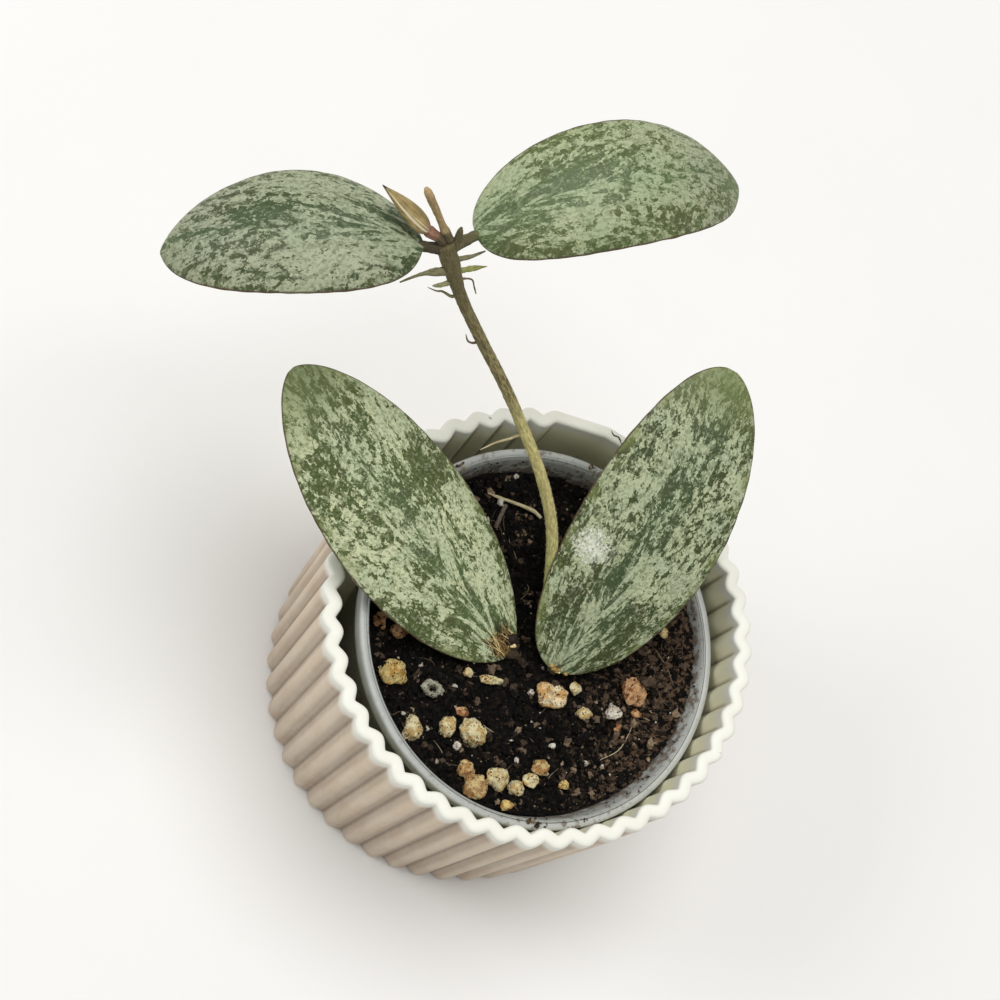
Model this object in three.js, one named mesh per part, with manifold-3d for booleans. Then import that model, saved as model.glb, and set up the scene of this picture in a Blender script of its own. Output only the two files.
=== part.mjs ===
// Potted hoya cutting: a fluted cover pot, a thin nursery pot inside it, potting mix with pumice grains,
// a leaning stem with four thick leaves, young growth and aerial roots.
// Millimetres, +Z up. The origin is the centre of the cover pot's underside.
import * as THREE from 'three';
import { LoftGeometry } from 'three/addons/geometries/LoftGeometry.js';
import { mergeVertices } from 'three/addons/utils/BufferGeometryUtils.js';
import Module from 'manifold-3d';

const wasm = await Module();
wasm.setup();

const degrees = THREE.MathUtils.degToRad;

// Clearance kept between pieces that touch
const seatGap = 0.3;
const socketGap = 0.45;

// Cover pot
const potHeight = 55.5;
const potCrestRadius = 40;
const potNotchRadius = 38.7;
const innerNotchRadius = 37.8;
const innerCrestRadius = 36.5;
const potBaseRatio = 0.963;
const potFloor = 3;
const potEdgeRound = 0.8;
const flutePitchDeg = 7.5;
const pointsPerFlute = 4;
const facetDeg = 15;
const facetsFromDeg = 60;
const facetsToDeg = 90;

// Nursery pot. It stands crooked in the cover pot: its axis leans, and it rests on the low edge of its foot.
const nurseryLeanDeg = 6.6;
const nurseryLeanTowardsDeg = -27.5;
const nurseryHeight = 45.6;
const nurseryRimRadius = 34.3;
const nurseryBandInner = 31.9;
const nurserySkirt = 3.2;
const nurseryBaseRadius = 24.8;
const nurseryWall = 0.6;
const nurseryFoot = [-3.6, 0.85, potFloor + seatGap + nurseryBaseRadius * Math.sin(degrees(nurseryLeanDeg))];
const drainHoleRadius = 2.5;
const drainHoleRing = 15;
const drainHoleCount = 6;

// Potting mix, measured up the nursery pot's axis
const soilTop = nurseryHeight - 5.6;
const soilBump = 0.3;

// Stem
const stemRadius = 1.05;
const stemPath = [
  [5.0, -2.0, 34.0],
  [4.4, -0.9, 41.0],
  [3.2, 1.4, 46.2],
  [0.7, 8.0, 54.9],
  [-2.5, 14.2, 63.8],
  [-7.6, 19.6, 72.4],
  [-13.6, 24.5, 79.9],
  [-19.7, 28.9, 87.0],
  [-26.1, 32.9, 93.9],
  [-32.0, 36.7, 100.7],
  [-37.3, 41.1, 108.6],
];

// Leaves. Angles are in degrees. baseFull and tipFull are the exponents of the outline at its two ends,
// bend is how far the midrib turns down along its length, sweep its sideways bow and cup the fall of the margins.
// rows and around are the faces along and around the blade.
const leaves = {
  leaf_upper_left: {
    base: [-40.7, 40.3, 108.5],
    yaw: 183.4,
    pitch: 22.8,
    roll: 8.5,
    length: 42.5,
    width: 22.0,
    baseFull: 0.49,
    tipFull: 0.55,
    bend: 72.3,
    sweep: 0.07,
    cup: 0.24,
    thick: 1.7,
    rows: 16,
    around: 12,
  },
  leaf_upper_right: {
    base: [-33.0, 44.0, 109.1],
    yaw: 19.7,
    pitch: 36.7,
    roll: 5.4,
    length: 53.1,
    width: 20.9,
    baseFull: 0.43,
    tipFull: 0.49,
    bend: 79.7,
    sweep: -0.13,
    cup: 0.21,
    thick: 1.7,
    rows: 16,
    around: 12,
  },
  leaf_lower_left: {
    base: [-3.2, -4.7, 46.7],
    yaw: 147.2,
    pitch: 33.1,
    roll: -5.4,
    length: 68.5,
    width: 27.2,
    baseFull: 0.59,
    tipFull: 0.61,
    bend: 10.7,
    sweep: -0.03,
    cup: 0.12,
    thick: 1.9,
    rows: 16,
    around: 12,
  },
  leaf_lower_right: {
    base: [5.3, -6.4, 46.7],
    yaw: 67.7,
    pitch: 45.6,
    roll: 8.9,
    length: 62.9,
    width: 27.1,
    baseFull: 0.5,
    tipFull: 0.53,
    bend: 24.3,
    sweep: 0.08,
    cup: 0.05,
    thick: 1.9,
    rows: 16,
    around: 12,
  },
};
const petioleRadius = { upper: 0.75, lower: 1.2 };

// Young leaf, still folded
const youngLeaf = {
  base: [-40.6, 41.8, 110.4],
  yaw: 163.5,
  pitch: 36.5,
  roll: 0,
  length: 11.4,
  width: 3.8,
  baseFull: 0.55,
  tipFull: 0.95,
  bend: 6,
  sweep: 0,
  cup: 0,
  thick: 1.5,
  rows: 8,
  around: 8,
};
const youngStalkRadius = 0.55;

// Growing shoot and bud: radii at even steps from foot to tip
const shootTip = [-43.3, 44.7, 118.0];
const shootRadii = [0.75, 0.85, 0.6, 0.62, 0.66, 0.66, 0.6, 0.3];
const budTip = [-35.7, 42.9, 111.0];
const budRadii = [0.4, 0.6, 0.5, 0.2];

// Things that spring from the stem: where along the stem, the points they pass, and their radius
const stemSprigs = {
  aerial_root_left: { at: 0.955, radius: 0.4, via: [[-39.6, 37.1, 105.0], [-42.9, 35.2, 104.5]] },
  aerial_root_right: { at: 0.965, radius: 0.35, via: [[-32.6, 40.9, 106.4], [-30.3, 42.2, 106.8]] },
  green_bract: { at: 0.94, radius: 0.4, via: [[-31.6, 40.0, 104.4], [-29.4, 40.7, 104.5]] },
  node_bud: { at: 0.93, radius: 0.35, via: [[-36.4, 36.6, 103.2], [-37.4, 36.2, 103.5]] },
  rootlet_left: { at: 0.915, radius: 0.3, via: [[-35.3, 36.6, 101.4], [-36.4, 36.1, 102.2], [-38.0, 36.1, 102.8]] },
  rootlet_right: { at: 0.925, radius: 0.3, via: [[-31.0, 38.9, 102.8], [-30.2, 38.4, 101.5], [-29.4, 38.0, 100.0]] },
  stem_rootlet: { at: 0.8, radius: 0.3, via: [[-28.4, 32.4, 94.0], [-29.3, 32.9, 95.4]] },
  back_root: { at: 0.49, radius: 0.35, via: [[-15.6, 23.6, 78.0], [-17.6, 22.9, 77.0], [-19.9, 21.6, 75.8]] },
};

// Things that lie on the mix
const surfaceBits = {
  surface_root: {
    radius: 0.35,
    via: [[-10.1, 24.2, 48.8], [-7.7, 23.8, 48.5], [-3.6, 23.2, 48.1], [-0.6, 22.5, 47.7], [0.7, 21.6, 47.5]],
  },
  soil_twig: { radius: 0.4, via: [[-8.0, 18.0, 48.2], [-7.3, 20.4, 48.4], [-6.4, 22.7, 48.3]] },
};

// Grains of pumice and perlite and a chip of bark: place across the nursery pot, size across and along, and kind
const grains = [
  { at: [-25.4, -10.2], size: [4.7, 4.0], kind: 'ochre' },
  { at: [-17.8, -11.7], size: [3.6, 2.9], kind: 'white' },
  { at: [-20.9, -18.9], size: [3.4, 4.2], kind: 'ochre' },
  { at: [-14.3, -17.9], size: [2.9, 3.6], kind: 'cream' },
  { at: [-9.5, -18.3], size: [4.7, 4.4], kind: 'cream' },
  { at: [-11.8, -14.9], size: [2.5, 1.8], kind: 'tan' },
  { at: [-12.2, -20.8], size: [1.5, 1.3], kind: 'white' },
  { at: [-10.2, -24.8], size: [2.5, 2.2], kind: 'ochre' },
  { at: [-8.1, -27.4], size: [3.4, 3.2], kind: 'ochre' },
  { at: [-4.6, -25.6], size: [3.8, 3.8], kind: 'cream' },
  { at: [-0.5, -26.8], size: [2.7, 2.6], kind: 'cream' },
  { at: [2.3, -25.0], size: [2.3, 2.6], kind: 'cream' },
  { at: [4.0, -22.3], size: [2.8, 2.8], kind: 'ochre' },
  { at: [8.9, -25.0], size: [1.8, 1.8], kind: 'ochre' },
  { at: [5.2, -9.3], size: [6.0, 4.4], kind: 'cream' },
  { at: [9.6, -7.3], size: [2.1, 2.1], kind: 'cream' },
  { at: [11.6, -11.6], size: [2.9, 2.2], kind: 'cream' },
  { at: [17.4, -10.4], size: [2.9, 2.9], kind: 'white' },
  { at: [21.0, -6.3], size: [4.7, 4.7], kind: 'tan' },
  { at: [22.0, -10.0], size: [2.5, 1.6], kind: 'tan' },
  { at: [18.6, -13.1], size: [1.8, 1.5], kind: 'tan' },
  { at: [27.0, 5.9], size: [2.2, 2.2], kind: 'cream' },
  { at: [29.3, -1.4], size: [1.8, 1.8], kind: 'tan' },
  { at: [-28.7, -1.1], size: [2.4, 3.2], kind: 'tan' },
  { at: [-25.0, -2.6], size: [3.4, 2.4], kind: 'tan' },
  { at: [-11.3, -7.5], size: [1.8, 2.0], kind: 'cream' },
  { at: [-7.0, -8.4], size: [4.2, 1.4], kind: 'cream' },
];
const grainSink = 0.12;
const grainHeight = 0.8;
const barkChip = { at: [24.5, -3.9], size: [2.9, 2.0], kind: 'bark' };
const grainColours = { ochre: 0xd9b45a, cream: 0xe6d9a8, white: 0xebe6dc, tan: 0xb98a5c, bark: 0x4c3a2c };

// Small helpers
function vec(p) {
  return new THREE.Vector3(...p);
}

function material(colour, roughness) {
  return new THREE.MeshStandardMaterial({ color: colour, roughness, metalness: 0 });
}

// Only the places of the corners and the faces between them
function plain(geometry) {
  const bare = new THREE.BufferGeometry();
  bare.setAttribute('position', geometry.attributes.position);
  bare.setIndex(geometry.index);
  return bare;
}

// A closed solid for cutting and joining, from a geometry whose shared corners are merged
function solidOf(geometry) {
  const merged = mergeVertices(plain(geometry), 1e-4);
  return new wasm.Manifold(
    new wasm.Mesh({
      numProp: 3,
      vertProperties: merged.attributes.position.array,
      triVerts: new Uint32Array(merged.index.array),
    }),
  );
}

function geometryOf(solid) {
  const mesh = solid.getMesh();
  const geometry = new THREE.BufferGeometry();
  geometry.setAttribute('position', new THREE.BufferAttribute(mesh.vertProperties, 3));
  geometry.setIndex(new THREE.BufferAttribute(mesh.triVerts, 1));
  geometry.computeVertexNormals();
  return geometry;
}

const plant = new THREE.Group();

function addPiece(name, geometry, look) {
  const piece = new THREE.Mesh(geometry, look);
  piece.name = name;
  plant.add(piece);
  return piece;
}

// A round rod of constant thickness along a smooth path
function rod(points, radius, sides, steps) {
  const corners = [];
  for (let i = 0; i < sides; i++) {
    const angle = (i / sides) * Math.PI * 2;
    corners.push(new THREE.Vector2(Math.cos(angle) * radius, Math.sin(angle) * radius));
  }
  const path = new THREE.CatmullRomCurve3(points, false, 'centripetal');
  return new THREE.ExtrudeGeometry(new THREE.Shape(corners), { extrudePath: path, steps, bevelEnabled: false });
}

// A closed skin over a row of rings
function loft(rings) {
  const skin = plain(new LoftGeometry(rings, { capStart: true, capEnd: true }));
  skin.computeVertexNormals();
  return skin;
}

// A straight round body whose radius changes from foot to tip
function spindle(foot, tip, radii, sides) {
  const axis = tip.clone().sub(foot);
  const turn = new THREE.Quaternion().setFromUnitVectors(new THREE.Vector3(0, 0, 1), axis.clone().normalize());
  const sections = radii.map((radius, i) => {
    const centre = foot.clone().addScaledVector(axis, i / (radii.length - 1));
    const ring = [];
    for (let j = 0; j < sides; j++) {
      const angle = (j / sides) * Math.PI * 2;
      const spoke = new THREE.Vector3(Math.cos(angle), Math.sin(angle), 0).multiplyScalar(radius);
      ring.push(spoke.applyQuaternion(turn).add(centre));
    }
    return ring;
  });
  return loft(sections);
}

// Cover pot: the fluted body less the fluted hollow
function wallRadius(deg, crest, notch, crestIsRound) {
  if (deg > facetsFromDeg && deg < facetsToDeg) {
    const middle = facetsFromDeg + facetDeg * (Math.floor((deg - facetsFromDeg) / facetDeg) + 0.5);
    return (crest * Math.cos(degrees(facetDeg / 2))) / Math.cos(degrees(deg - middle));
  }
  const half = degrees((deg / flutePitchDeg) * 180);
  const rise = crestIsRound ? Math.abs(Math.cos(half)) : 1 - Math.abs(Math.sin(half));
  return notch + (crest - notch) * rise;
}

const wallSides = {
  outside: (deg) => wallRadius(deg, potCrestRadius, potNotchRadius, true),
  inside: (deg) => wallRadius(deg, innerNotchRadius, innerCrestRadius, false),
  underside: () => potNotchRadius,
  floor: () => innerCrestRadius,
};

function potRing(side, z, inset) {
  const taper = potBaseRatio + ((1 - potBaseRatio) * z) / potHeight;
  const ring = [];
  const count = (360 / flutePitchDeg) * pointsPerFlute;
  for (let i = 0; i < count; i++) {
    const deg = (i * 360) / count;
    const reach = wallSides[side](deg) * taper - inset;
    ring.push(new THREE.Vector3(Math.cos(degrees(deg)) * reach, Math.sin(degrees(deg)) * reach, z));
  }
  return ring;
}

function coverPot() {
  const body = [
    potRing('underside', 0, 1.0),
    potRing('outside', 1.0, 0),
    potRing('outside', potHeight - potEdgeRound, 0),
    potRing('outside', potHeight, potEdgeRound * 0.8),
  ];
  const hollow = [
    potRing('floor', potFloor, 1.2),
    potRing('inside', potFloor + 1.2, 0),
    potRing('inside', potHeight - potEdgeRound, 0),
    potRing('inside', potHeight, -potEdgeRound * 0.6),
    potRing('inside', potHeight + 1, -potEdgeRound * 0.6),
  ];
  return geometryOf(solidOf(loft(body)).subtract(solidOf(loft(hollow))));
}

addPiece('cache_pot', coverPot(), material(0xe9e4da, 0.62));

// The nursery pot, the mix in it and what lies on the mix lean together
const nurseryTurn = new THREE.Euler(0, degrees(nurseryLeanDeg), degrees(nurseryLeanTowardsDeg), 'ZYX');
const nurseryAxis = vec([0, 0, 1]).applyEuler(nurseryTurn);
const nurseryLean = new THREE.Matrix4().compose(
  vec(nurseryFoot),
  new THREE.Quaternion().setFromUnitVectors(vec([0, 0, 1]), nurseryAxis),
  vec([1, 1, 1]),
);

function upright(profile, segments) {
  const points = profile.map(([r, z]) => new THREE.Vector2(r, z));
  return new THREE.LatheGeometry(points, segments).rotateX(Math.PI / 2);
}

function nurseryInnerRadius(z) {
  const top = nurseryBandInner - 0.3;
  return nurseryBaseRadius - nurseryWall + (top - nurseryBaseRadius + nurseryWall) * (z / nurseryHeight);
}

function nurseryPot() {
  const skirtZ = nurseryHeight - nurserySkirt;
  const profile = [
    [0, 0],
    [nurseryBaseRadius - 0.6, 0],
    [nurseryBaseRadius, 0.6],
    [nurseryInnerRadius(skirtZ) + nurseryWall, skirtZ],
    [nurseryRimRadius - 0.5, skirtZ],
    [nurseryRimRadius, skirtZ + 0.6],
    [nurseryRimRadius, nurseryHeight - 0.3],
    [nurseryRimRadius - 0.3, nurseryHeight],
    [nurseryBandInner, nurseryHeight],
    [nurseryInnerRadius(nurseryHeight), nurseryHeight - 0.4],
    [nurseryInnerRadius(nurseryWall), nurseryWall + 0.2],
    [nurseryInnerRadius(nurseryWall) - 0.3, nurseryWall],
    [0, nurseryWall],
  ];
  let pot = solidOf(upright(profile, 40));
  for (let i = 0; i < drainHoleCount; i++) {
    const angle = (i / drainHoleCount) * Math.PI * 2;
    const hole = new THREE.CylinderGeometry(drainHoleRadius, drainHoleRadius, 4, 10).rotateX(Math.PI / 2);
    hole.translate(Math.cos(angle) * drainHoleRing, Math.sin(angle) * drainHoleRing, 0);
    pot = pot.subtract(solidOf(hole));
  }
  return geometryOf(pot).applyMatrix4(nurseryLean);
}

addPiece('nursery_pot', nurseryPot(), material(0xb9bcc0, 0.45));

// Leaf blade: the midrib is an arc, the outline swells and narrows along it, the section is a thin lens
function outline(u, leaf) {
  const widest = leaf.baseFull / (leaf.baseFull + leaf.tipFull);
  const most = widest ** leaf.baseFull * (1 - widest) ** leaf.tipFull;
  return (u ** leaf.baseFull * (1 - u) ** leaf.tipFull) / most;
}

function leafAxes(leaf) {
  const yaw = degrees(leaf.yaw);
  const pitch = degrees(leaf.pitch);
  const roll = degrees(leaf.roll);
  const ahead = new THREE.Vector3(
    Math.cos(yaw) * Math.cos(pitch),
    Math.sin(yaw) * Math.cos(pitch),
    Math.sin(pitch),
  );
  const level = new THREE.Vector3(-Math.sin(yaw), Math.cos(yaw), 0);
  const above = ahead.clone().cross(level);
  const side = level.multiplyScalar(Math.cos(roll)).addScaledVector(above, Math.sin(roll));
  return { ahead, side, up: ahead.clone().cross(side) };
}

function leafPoint(leaf, u, v, lift) {
  const bend = degrees(leaf.bend) + 1e-9;
  const half = (leaf.width / 2) * outline(u, leaf);
  const rise = lift - leaf.cup * half * v * v;
  const along = (leaf.length * Math.sin(bend * u)) / bend + Math.sin(bend * u) * rise;
  const over = (-leaf.length * (1 - Math.cos(bend * u))) / bend + Math.cos(bend * u) * rise;
  const across = leaf.sweep * leaf.length * (u * u - u) + half * v;
  const { ahead, side, up } = leafAxes(leaf);
  return vec(leaf.base).addScaledVector(ahead, along).addScaledVector(side, across).addScaledVector(up, over);
}

function blade(leaf, grow = 0) {
  const sections = [];
  const base = vec(leaf.base).addScaledVector(leafAxes(leaf).ahead, -grow).toArray();
  const wide = { ...leaf, base, width: leaf.width + grow * 2, length: leaf.length + grow * 2 };
  for (let i = 0; i <= leaf.rows; i++) {
    const u = 0.004 + 0.992 * 0.5 * (1 - Math.cos((Math.PI * i) / leaf.rows));
    const halfThick = (leaf.thick / 2) * Math.sqrt(outline(u, leaf)) + grow;
    const ring = [];
    for (let j = 0; j < leaf.around; j++) {
      const angle = (j / leaf.around) * Math.PI * 2;
      ring.push(leafPoint(wide, u, Math.cos(angle), halfThick * Math.sin(angle)));
    }
    sections.push(ring);
  }
  return solidOf(loft(sections));
}

// Stem, and the places on it that other pieces spring from
const stemCurve = new THREE.CatmullRomCurve3(stemPath.map(vec), false, 'centripetal');
addPiece('main_stem', rod(stemPath.map(vec), stemRadius, 8, 32), material(0x6d5f42, 0.8));

function offStem(fraction, towards) {
  const centre = stemCurve.getPointAt(fraction);
  const axis = stemCurve.getTangentAt(fraction);
  const out = towards.clone().sub(centre);
  out.addScaledVector(axis, -out.dot(axis)).normalize();
  return { start: centre.clone().addScaledVector(out, stemRadius + seatGap), out };
}

// Leaves with their stalks
const leafLook = material(0x8ea082, 0.5);
const mixSockets = [];

function leafWithStalk(name, fraction, radius) {
  const leaf = leaves[name];
  const foot = leafPoint(leaf, 0.01, 0, 0);
  const { start, out } = offStem(fraction, foot);
  const points = [start, start.clone().addScaledVector(out, radius), foot, leafPoint(leaf, 0.07, 0, 0)];
  addPiece(name, geometryOf(blade(leaf).add(solidOf(rod(points, radius, 8, 8)))), leafLook);
  return points;
}

leafWithStalk('leaf_upper_left', 0.985, petioleRadius.upper);
leafWithStalk('leaf_upper_right', 0.985, petioleRadius.upper);
for (const [name, fraction] of [['leaf_lower_left', 0.075], ['leaf_lower_right', 0.03]]) {
  const points = leafWithStalk(name, fraction, petioleRadius.lower);
  const inward = points[0].clone().sub(points[1]).setLength(seatGap * 2).add(points[0]);
  mixSockets.push(blade(leaves[name], socketGap));
  mixSockets.push(solidOf(rod([inward, ...points], petioleRadius.lower + socketGap, 8, 10)));
}
mixSockets.push(solidOf(rod([vec([5.2, -2.4, 32.6]), ...stemPath.map(vec)], stemRadius + socketGap, 8, 32)));

// Young growth at the top node
const stemTop = stemCurve.getPointAt(1);
const stemTopAxis = stemCurve.getTangentAt(1);

function youngLeafPiece() {
  const inside = leafPoint(youngLeaf, 0.1, 0, 0);
  const foot = stemTop.clone().addScaledVector(stemTopAxis, seatGap + 0.35);
  foot.add(vec([-0.7, 0, 0.1]));
  const points = [foot, leafPoint(youngLeaf, 0.01, 0, 0), inside];
  return geometryOf(blade(youngLeaf).add(solidOf(rod(points, youngStalkRadius, 6, 6))));
}

addPiece('young_leaf', youngLeafPiece(), material(0x8f7a3e, 0.6));

const shootFoot = stemTop.clone().addScaledVector(stemTopAxis, seatGap + 0.7).add(vec([0.6, 1.0, 0.2]));
addPiece('growing_shoot', spindle(shootFoot, vec(shootTip), shootRadii, 8), material(0x8a6b3f, 0.7));

const budSpot = offStem(0.995, vec(budTip));
const budFoot = budSpot.start.addScaledVector(budSpot.out, 0.2);
addPiece('axillary_bud', spindle(budFoot, vec(budTip), budRadii, 8), material(0x6b5a3a, 0.7));

for (const [name, sprig] of Object.entries(stemSprigs)) {
  const { start, out } = offStem(sprig.at, vec(sprig.via[0]));
  const points = [start, start.clone().addScaledVector(out, sprig.radius), ...sprig.via.map(vec)];
  const isGreen = name === 'green_bract' || name === 'node_bud';
  addPiece(name, rod(points, sprig.radius, 6, points.length * 3), material(isGreen ? 0x8a9a4c : 0x8c7a52, 0.8));
}

for (const [name, bit] of Object.entries(surfaceBits)) {
  const points = bit.via.map(vec);
  mixSockets.push(solidOf(rod(points, bit.radius + socketGap, 6, points.length * 3)));
  addPiece(name, rod(points, bit.radius, 6, points.length * 3), material(0xcabf9a, 0.8));
}

// Grains: rough lumps, part sunk in the mix
function lump(grain, grow) {
  const shape = mergeVertices(new THREE.OctahedronGeometry(1, 1).deleteAttribute('normal').deleteAttribute('uv'));
  const [across, along] = grain.size;
  const tall = Math.min(across, along) * grainHeight;
  const corners = shape.attributes.position;
  const turn = grain.at[0] * 7 + grain.at[1] * 3;
  for (let i = 0; i < corners.count; i++) {
    const corner = new THREE.Vector3().fromBufferAttribute(corners, i);
    const swell = 1 - 0.07 * (1 + Math.sin(turn + corner.x * 5 + corner.y * 3 + corner.z * 4));
    corner.multiplyScalar(swell);
    corner.set((corner.x * across) / 2, (corner.y * along) / 2, (corner.z * tall) / 2);
    corner.addScaledVector(corner.clone().normalize(), grow);
    corners.setXYZ(i, corner.x, corner.y, corner.z);
  }
  return shape.translate(grain.at[0], grain.at[1], soilTop + tall * grainSink).applyMatrix4(nurseryLean);
}

function bareCopy(geometry) {
  const copy = geometry.toNonIndexed();
  copy.computeVertexNormals();
  return copy;
}

grains.forEach((grain, i) => {
  mixSockets.push(solidOf(lump(grain, socketGap * 0.8)));
  addPiece(`grain_${String(i + 1).padStart(2, '0')}`, bareCopy(lump(grain, 0)), material(grainColours[grain.kind], 0.9));
});
mixSockets.push(solidOf(lump(barkChip, socketGap * 0.8)));
addPiece('bark_chip', bareCopy(lump(barkChip, 0)), material(grainColours.bark, 0.9));

// Potting mix: fills the nursery pot, with an uneven top and a socket for each thing that sits in it
function pottingMix() {
  const bottom = nurseryWall + seatGap;
  const edgeAt = (z) => nurseryInnerRadius(z) - seatGap;
  const profile = [
    [0, bottom],
    [edgeAt(bottom) - 0.8, bottom],
    [edgeAt(bottom + 0.8), bottom + 0.8],
    [edgeAt(soilTop - 1), soilTop - 1],
    [edgeAt(soilTop) - 0.8, soilTop],
    [23, soilTop],
    [15, soilTop],
    [7, soilTop],
    [0, soilTop],
  ];
  const body = upright(profile, 40);
  const corners = body.attributes.position;
  for (let i = 0; i < corners.count; i++) {
    const x = corners.getX(i);
    const y = corners.getY(i);
    const z = corners.getZ(i);
    const reach = Math.hypot(x, y);
    if (z > soilTop - 0.1 && reach < 24) {
      corners.setZ(i, z - soilBump * (1 + Math.sin(x * 0.45 + 0.8) * Math.cos(y * 0.5)) * 0.5);
    }
  }
  let mix = solidOf(body.applyMatrix4(nurseryLean));
  for (const socket of mixSockets) {
    mix = mix.subtract(socket);
  }
  return geometryOf(mix);
}

addPiece('soil', pottingMix(), material(0x2a211b, 0.95));

export default plant;
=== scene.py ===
import functools
import math

import bmesh
import bpy
import numpy as np
from mathutils import Matrix, Vector, noise


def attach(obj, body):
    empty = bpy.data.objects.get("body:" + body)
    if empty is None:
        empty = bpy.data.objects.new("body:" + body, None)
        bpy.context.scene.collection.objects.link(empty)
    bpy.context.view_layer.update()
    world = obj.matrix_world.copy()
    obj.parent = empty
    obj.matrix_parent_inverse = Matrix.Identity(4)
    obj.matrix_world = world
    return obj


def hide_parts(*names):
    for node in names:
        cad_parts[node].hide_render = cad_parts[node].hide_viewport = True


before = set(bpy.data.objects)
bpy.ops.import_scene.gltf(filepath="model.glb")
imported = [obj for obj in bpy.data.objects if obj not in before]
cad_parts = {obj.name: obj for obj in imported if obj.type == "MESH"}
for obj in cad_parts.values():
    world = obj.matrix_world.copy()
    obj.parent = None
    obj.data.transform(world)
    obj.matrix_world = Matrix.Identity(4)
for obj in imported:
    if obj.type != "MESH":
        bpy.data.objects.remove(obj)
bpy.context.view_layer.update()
mm = 0.001
fullTurn = 2 * math.pi
print("frame loaded with", len(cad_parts), "solids")


# shaping helpers
def smoothStep(value, low, high):
    t = np.clip((np.asarray(value, float) - low) / (high - low), 0, 1)
    return t * t * (3 - 2 * t)


def bell(value, middle, wide):
    return np.exp(-(((value - middle) / wide) ** 2))


def polar(reach, heading):
    return math.cos(heading) * reach, math.sin(heading) * reach


def turnsOf(count):
    return np.arange(count) / count * fullTurn


def ringFaces(rings, around):
    # a closed skin over rings of equal count, facing out when they turn anticlockwise
    here = np.arange(around)
    after = (here + 1) % around
    rows = []
    for low in range(0, (rings - 1) * around, around):
        rows.append(np.stack([low + here, low + after, low + around + after, low + around + here], 1))
    first = list(range(around))
    last = [i + (rings - 1) * around for i in first]
    return [*np.concatenate(rows).tolist(), first[::-1], last]


def turnedSkin(rows, angle):  # a wall turned round the upright axis, with a reach and a height for each row
    rings = [np.stack([np.cos(angle) * r, np.sin(angle) * r, np.full(len(angle), z)], 1) for r, z in rows]
    return np.vstack(rings), ringFaces(len(rows), len(angle))


def newMesh(name, points, faces):
    mesh = bpy.data.meshes.new(name)
    mesh.from_pydata((np.asarray(points, float) * mm).tolist(), [], faces)
    return mesh


def linked(name, data):
    piece = bpy.data.objects.new(name, data)
    bpy.context.scene.collection.objects.link(piece)
    return piece


def addPiece(name, points, faces, look, node=None, values=None, smooth=True):
    mesh = newMesh(name, points, faces)
    for key, data in (values or {}).items():
        data = np.asarray(data, float)
        flat = data.ndim == 1
        layer = mesh.attributes.new(key, "FLOAT" if flat else "FLOAT_VECTOR", "POINT")
        layer.data.foreach_set("value" if flat else "vector", data.ravel())
    mesh.polygons.foreach_set("use_smooth", [smooth] * len(mesh.polygons))
    mesh.materials.append(look)
    mesh.update()
    piece = linked(name, mesh)
    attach(piece, "root")
    if node:
        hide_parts(node)
    return piece


def runOf(path):  # how far along a path each of its points is
    return np.concatenate([[0], np.cumsum(np.linalg.norm(np.diff(path, axis=0), axis=1))])


def smoothPath(points, count):  # an even walk along a rounded line through the points
    p = np.asarray(points, float)
    p = np.vstack([2 * p[0] - p[1], p, 2 * p[-1] - p[-2]])
    walk = []
    for i in range(1, len(p) - 2):
        a, b, c, d = p[i - 1 : i + 3]
        tb = max(np.linalg.norm(b - a), 1e-6) ** 0.5
        tc = tb + max(np.linalg.norm(c - b), 1e-6) ** 0.5
        td = tc + max(np.linalg.norm(d - c), 1e-6) ** 0.5
        t = np.linspace(tb, tc, 24, endpoint=False)[:, None]
        ab = a + (b - a) * t / tb
        bc = b + (c - b) * (t - tb) / (tc - tb)
        cd = c + (d - c) * (t - tc) / (td - tc)
        abc = ab + (bc - ab) * t / tc
        bcd = bc + (cd - bc) * (t - tb) / (td - tb)
        walk.append(abc + (bcd - abc) * (t - tb) / (tc - tb))
    walk = np.vstack([*walk, p[-2]])
    run = runOf(walk)
    even = np.linspace(0, run[-1], count)
    return np.stack([np.interp(even, run, walk[:, k]) for k in range(3)], 1)


def sideways(path):  # two directions across a path at each of its points, turning as little as they can
    ahead = np.gradient(path, axis=0)
    ahead /= np.linalg.norm(ahead, axis=1)[:, None]
    start = np.cross(ahead[0], [0.0, 0.0, 1.0] if abs(ahead[0][2]) < 0.9 else [1.0, 0.0, 0.0])
    first = [start / np.linalg.norm(start)]
    for direction in ahead[1:]:
        side = first[-1] - direction * np.dot(first[-1], direction)
        first.append(side / np.linalg.norm(side))
    first = np.array(first)
    return ahead, first, np.cross(ahead, first)


def tube(path, radii, around, bumpy=0.0, seed=0.0):
    # points, faces, and each point's share of the way along and its run of (mm along, turn, seed)
    path = np.asarray(path, float)
    radii = np.interp(np.linspace(0, 1, len(path)), np.linspace(0, 1, len(radii)), radii)
    _, first, second = sideways(path)
    angle = turnsOf(around)
    shift = Vector((seed, 0, 0))
    points, along, grown = [], [], []
    for i, (centre, far) in enumerate(zip(path, runOf(path))):
        spokes = np.cos(angle)[:, None] * first[i] + np.sin(angle)[:, None] * second[i]
        reach = np.full(around, radii[i])
        if bumpy:
            reach *= [1 + bumpy * noise.noise(Vector(centre + s * 1.5) * 1.3 + shift) for s in spokes]
        points.append(centre + spokes * reach[:, None])
        along += [i / (len(path) - 1)] * around
        grown += [(far, a, seed) for a in angle]
    return np.vstack(points), ringFaces(len(path), around), {"along": along, "run": grown}


def thread(line, steps, radii, around, tone):  # a thin tube as one part of a joined mesh
    shape, sides, _ = tube(smoothPath(line, steps), radii, around)
    return shape, sides, tone


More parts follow.
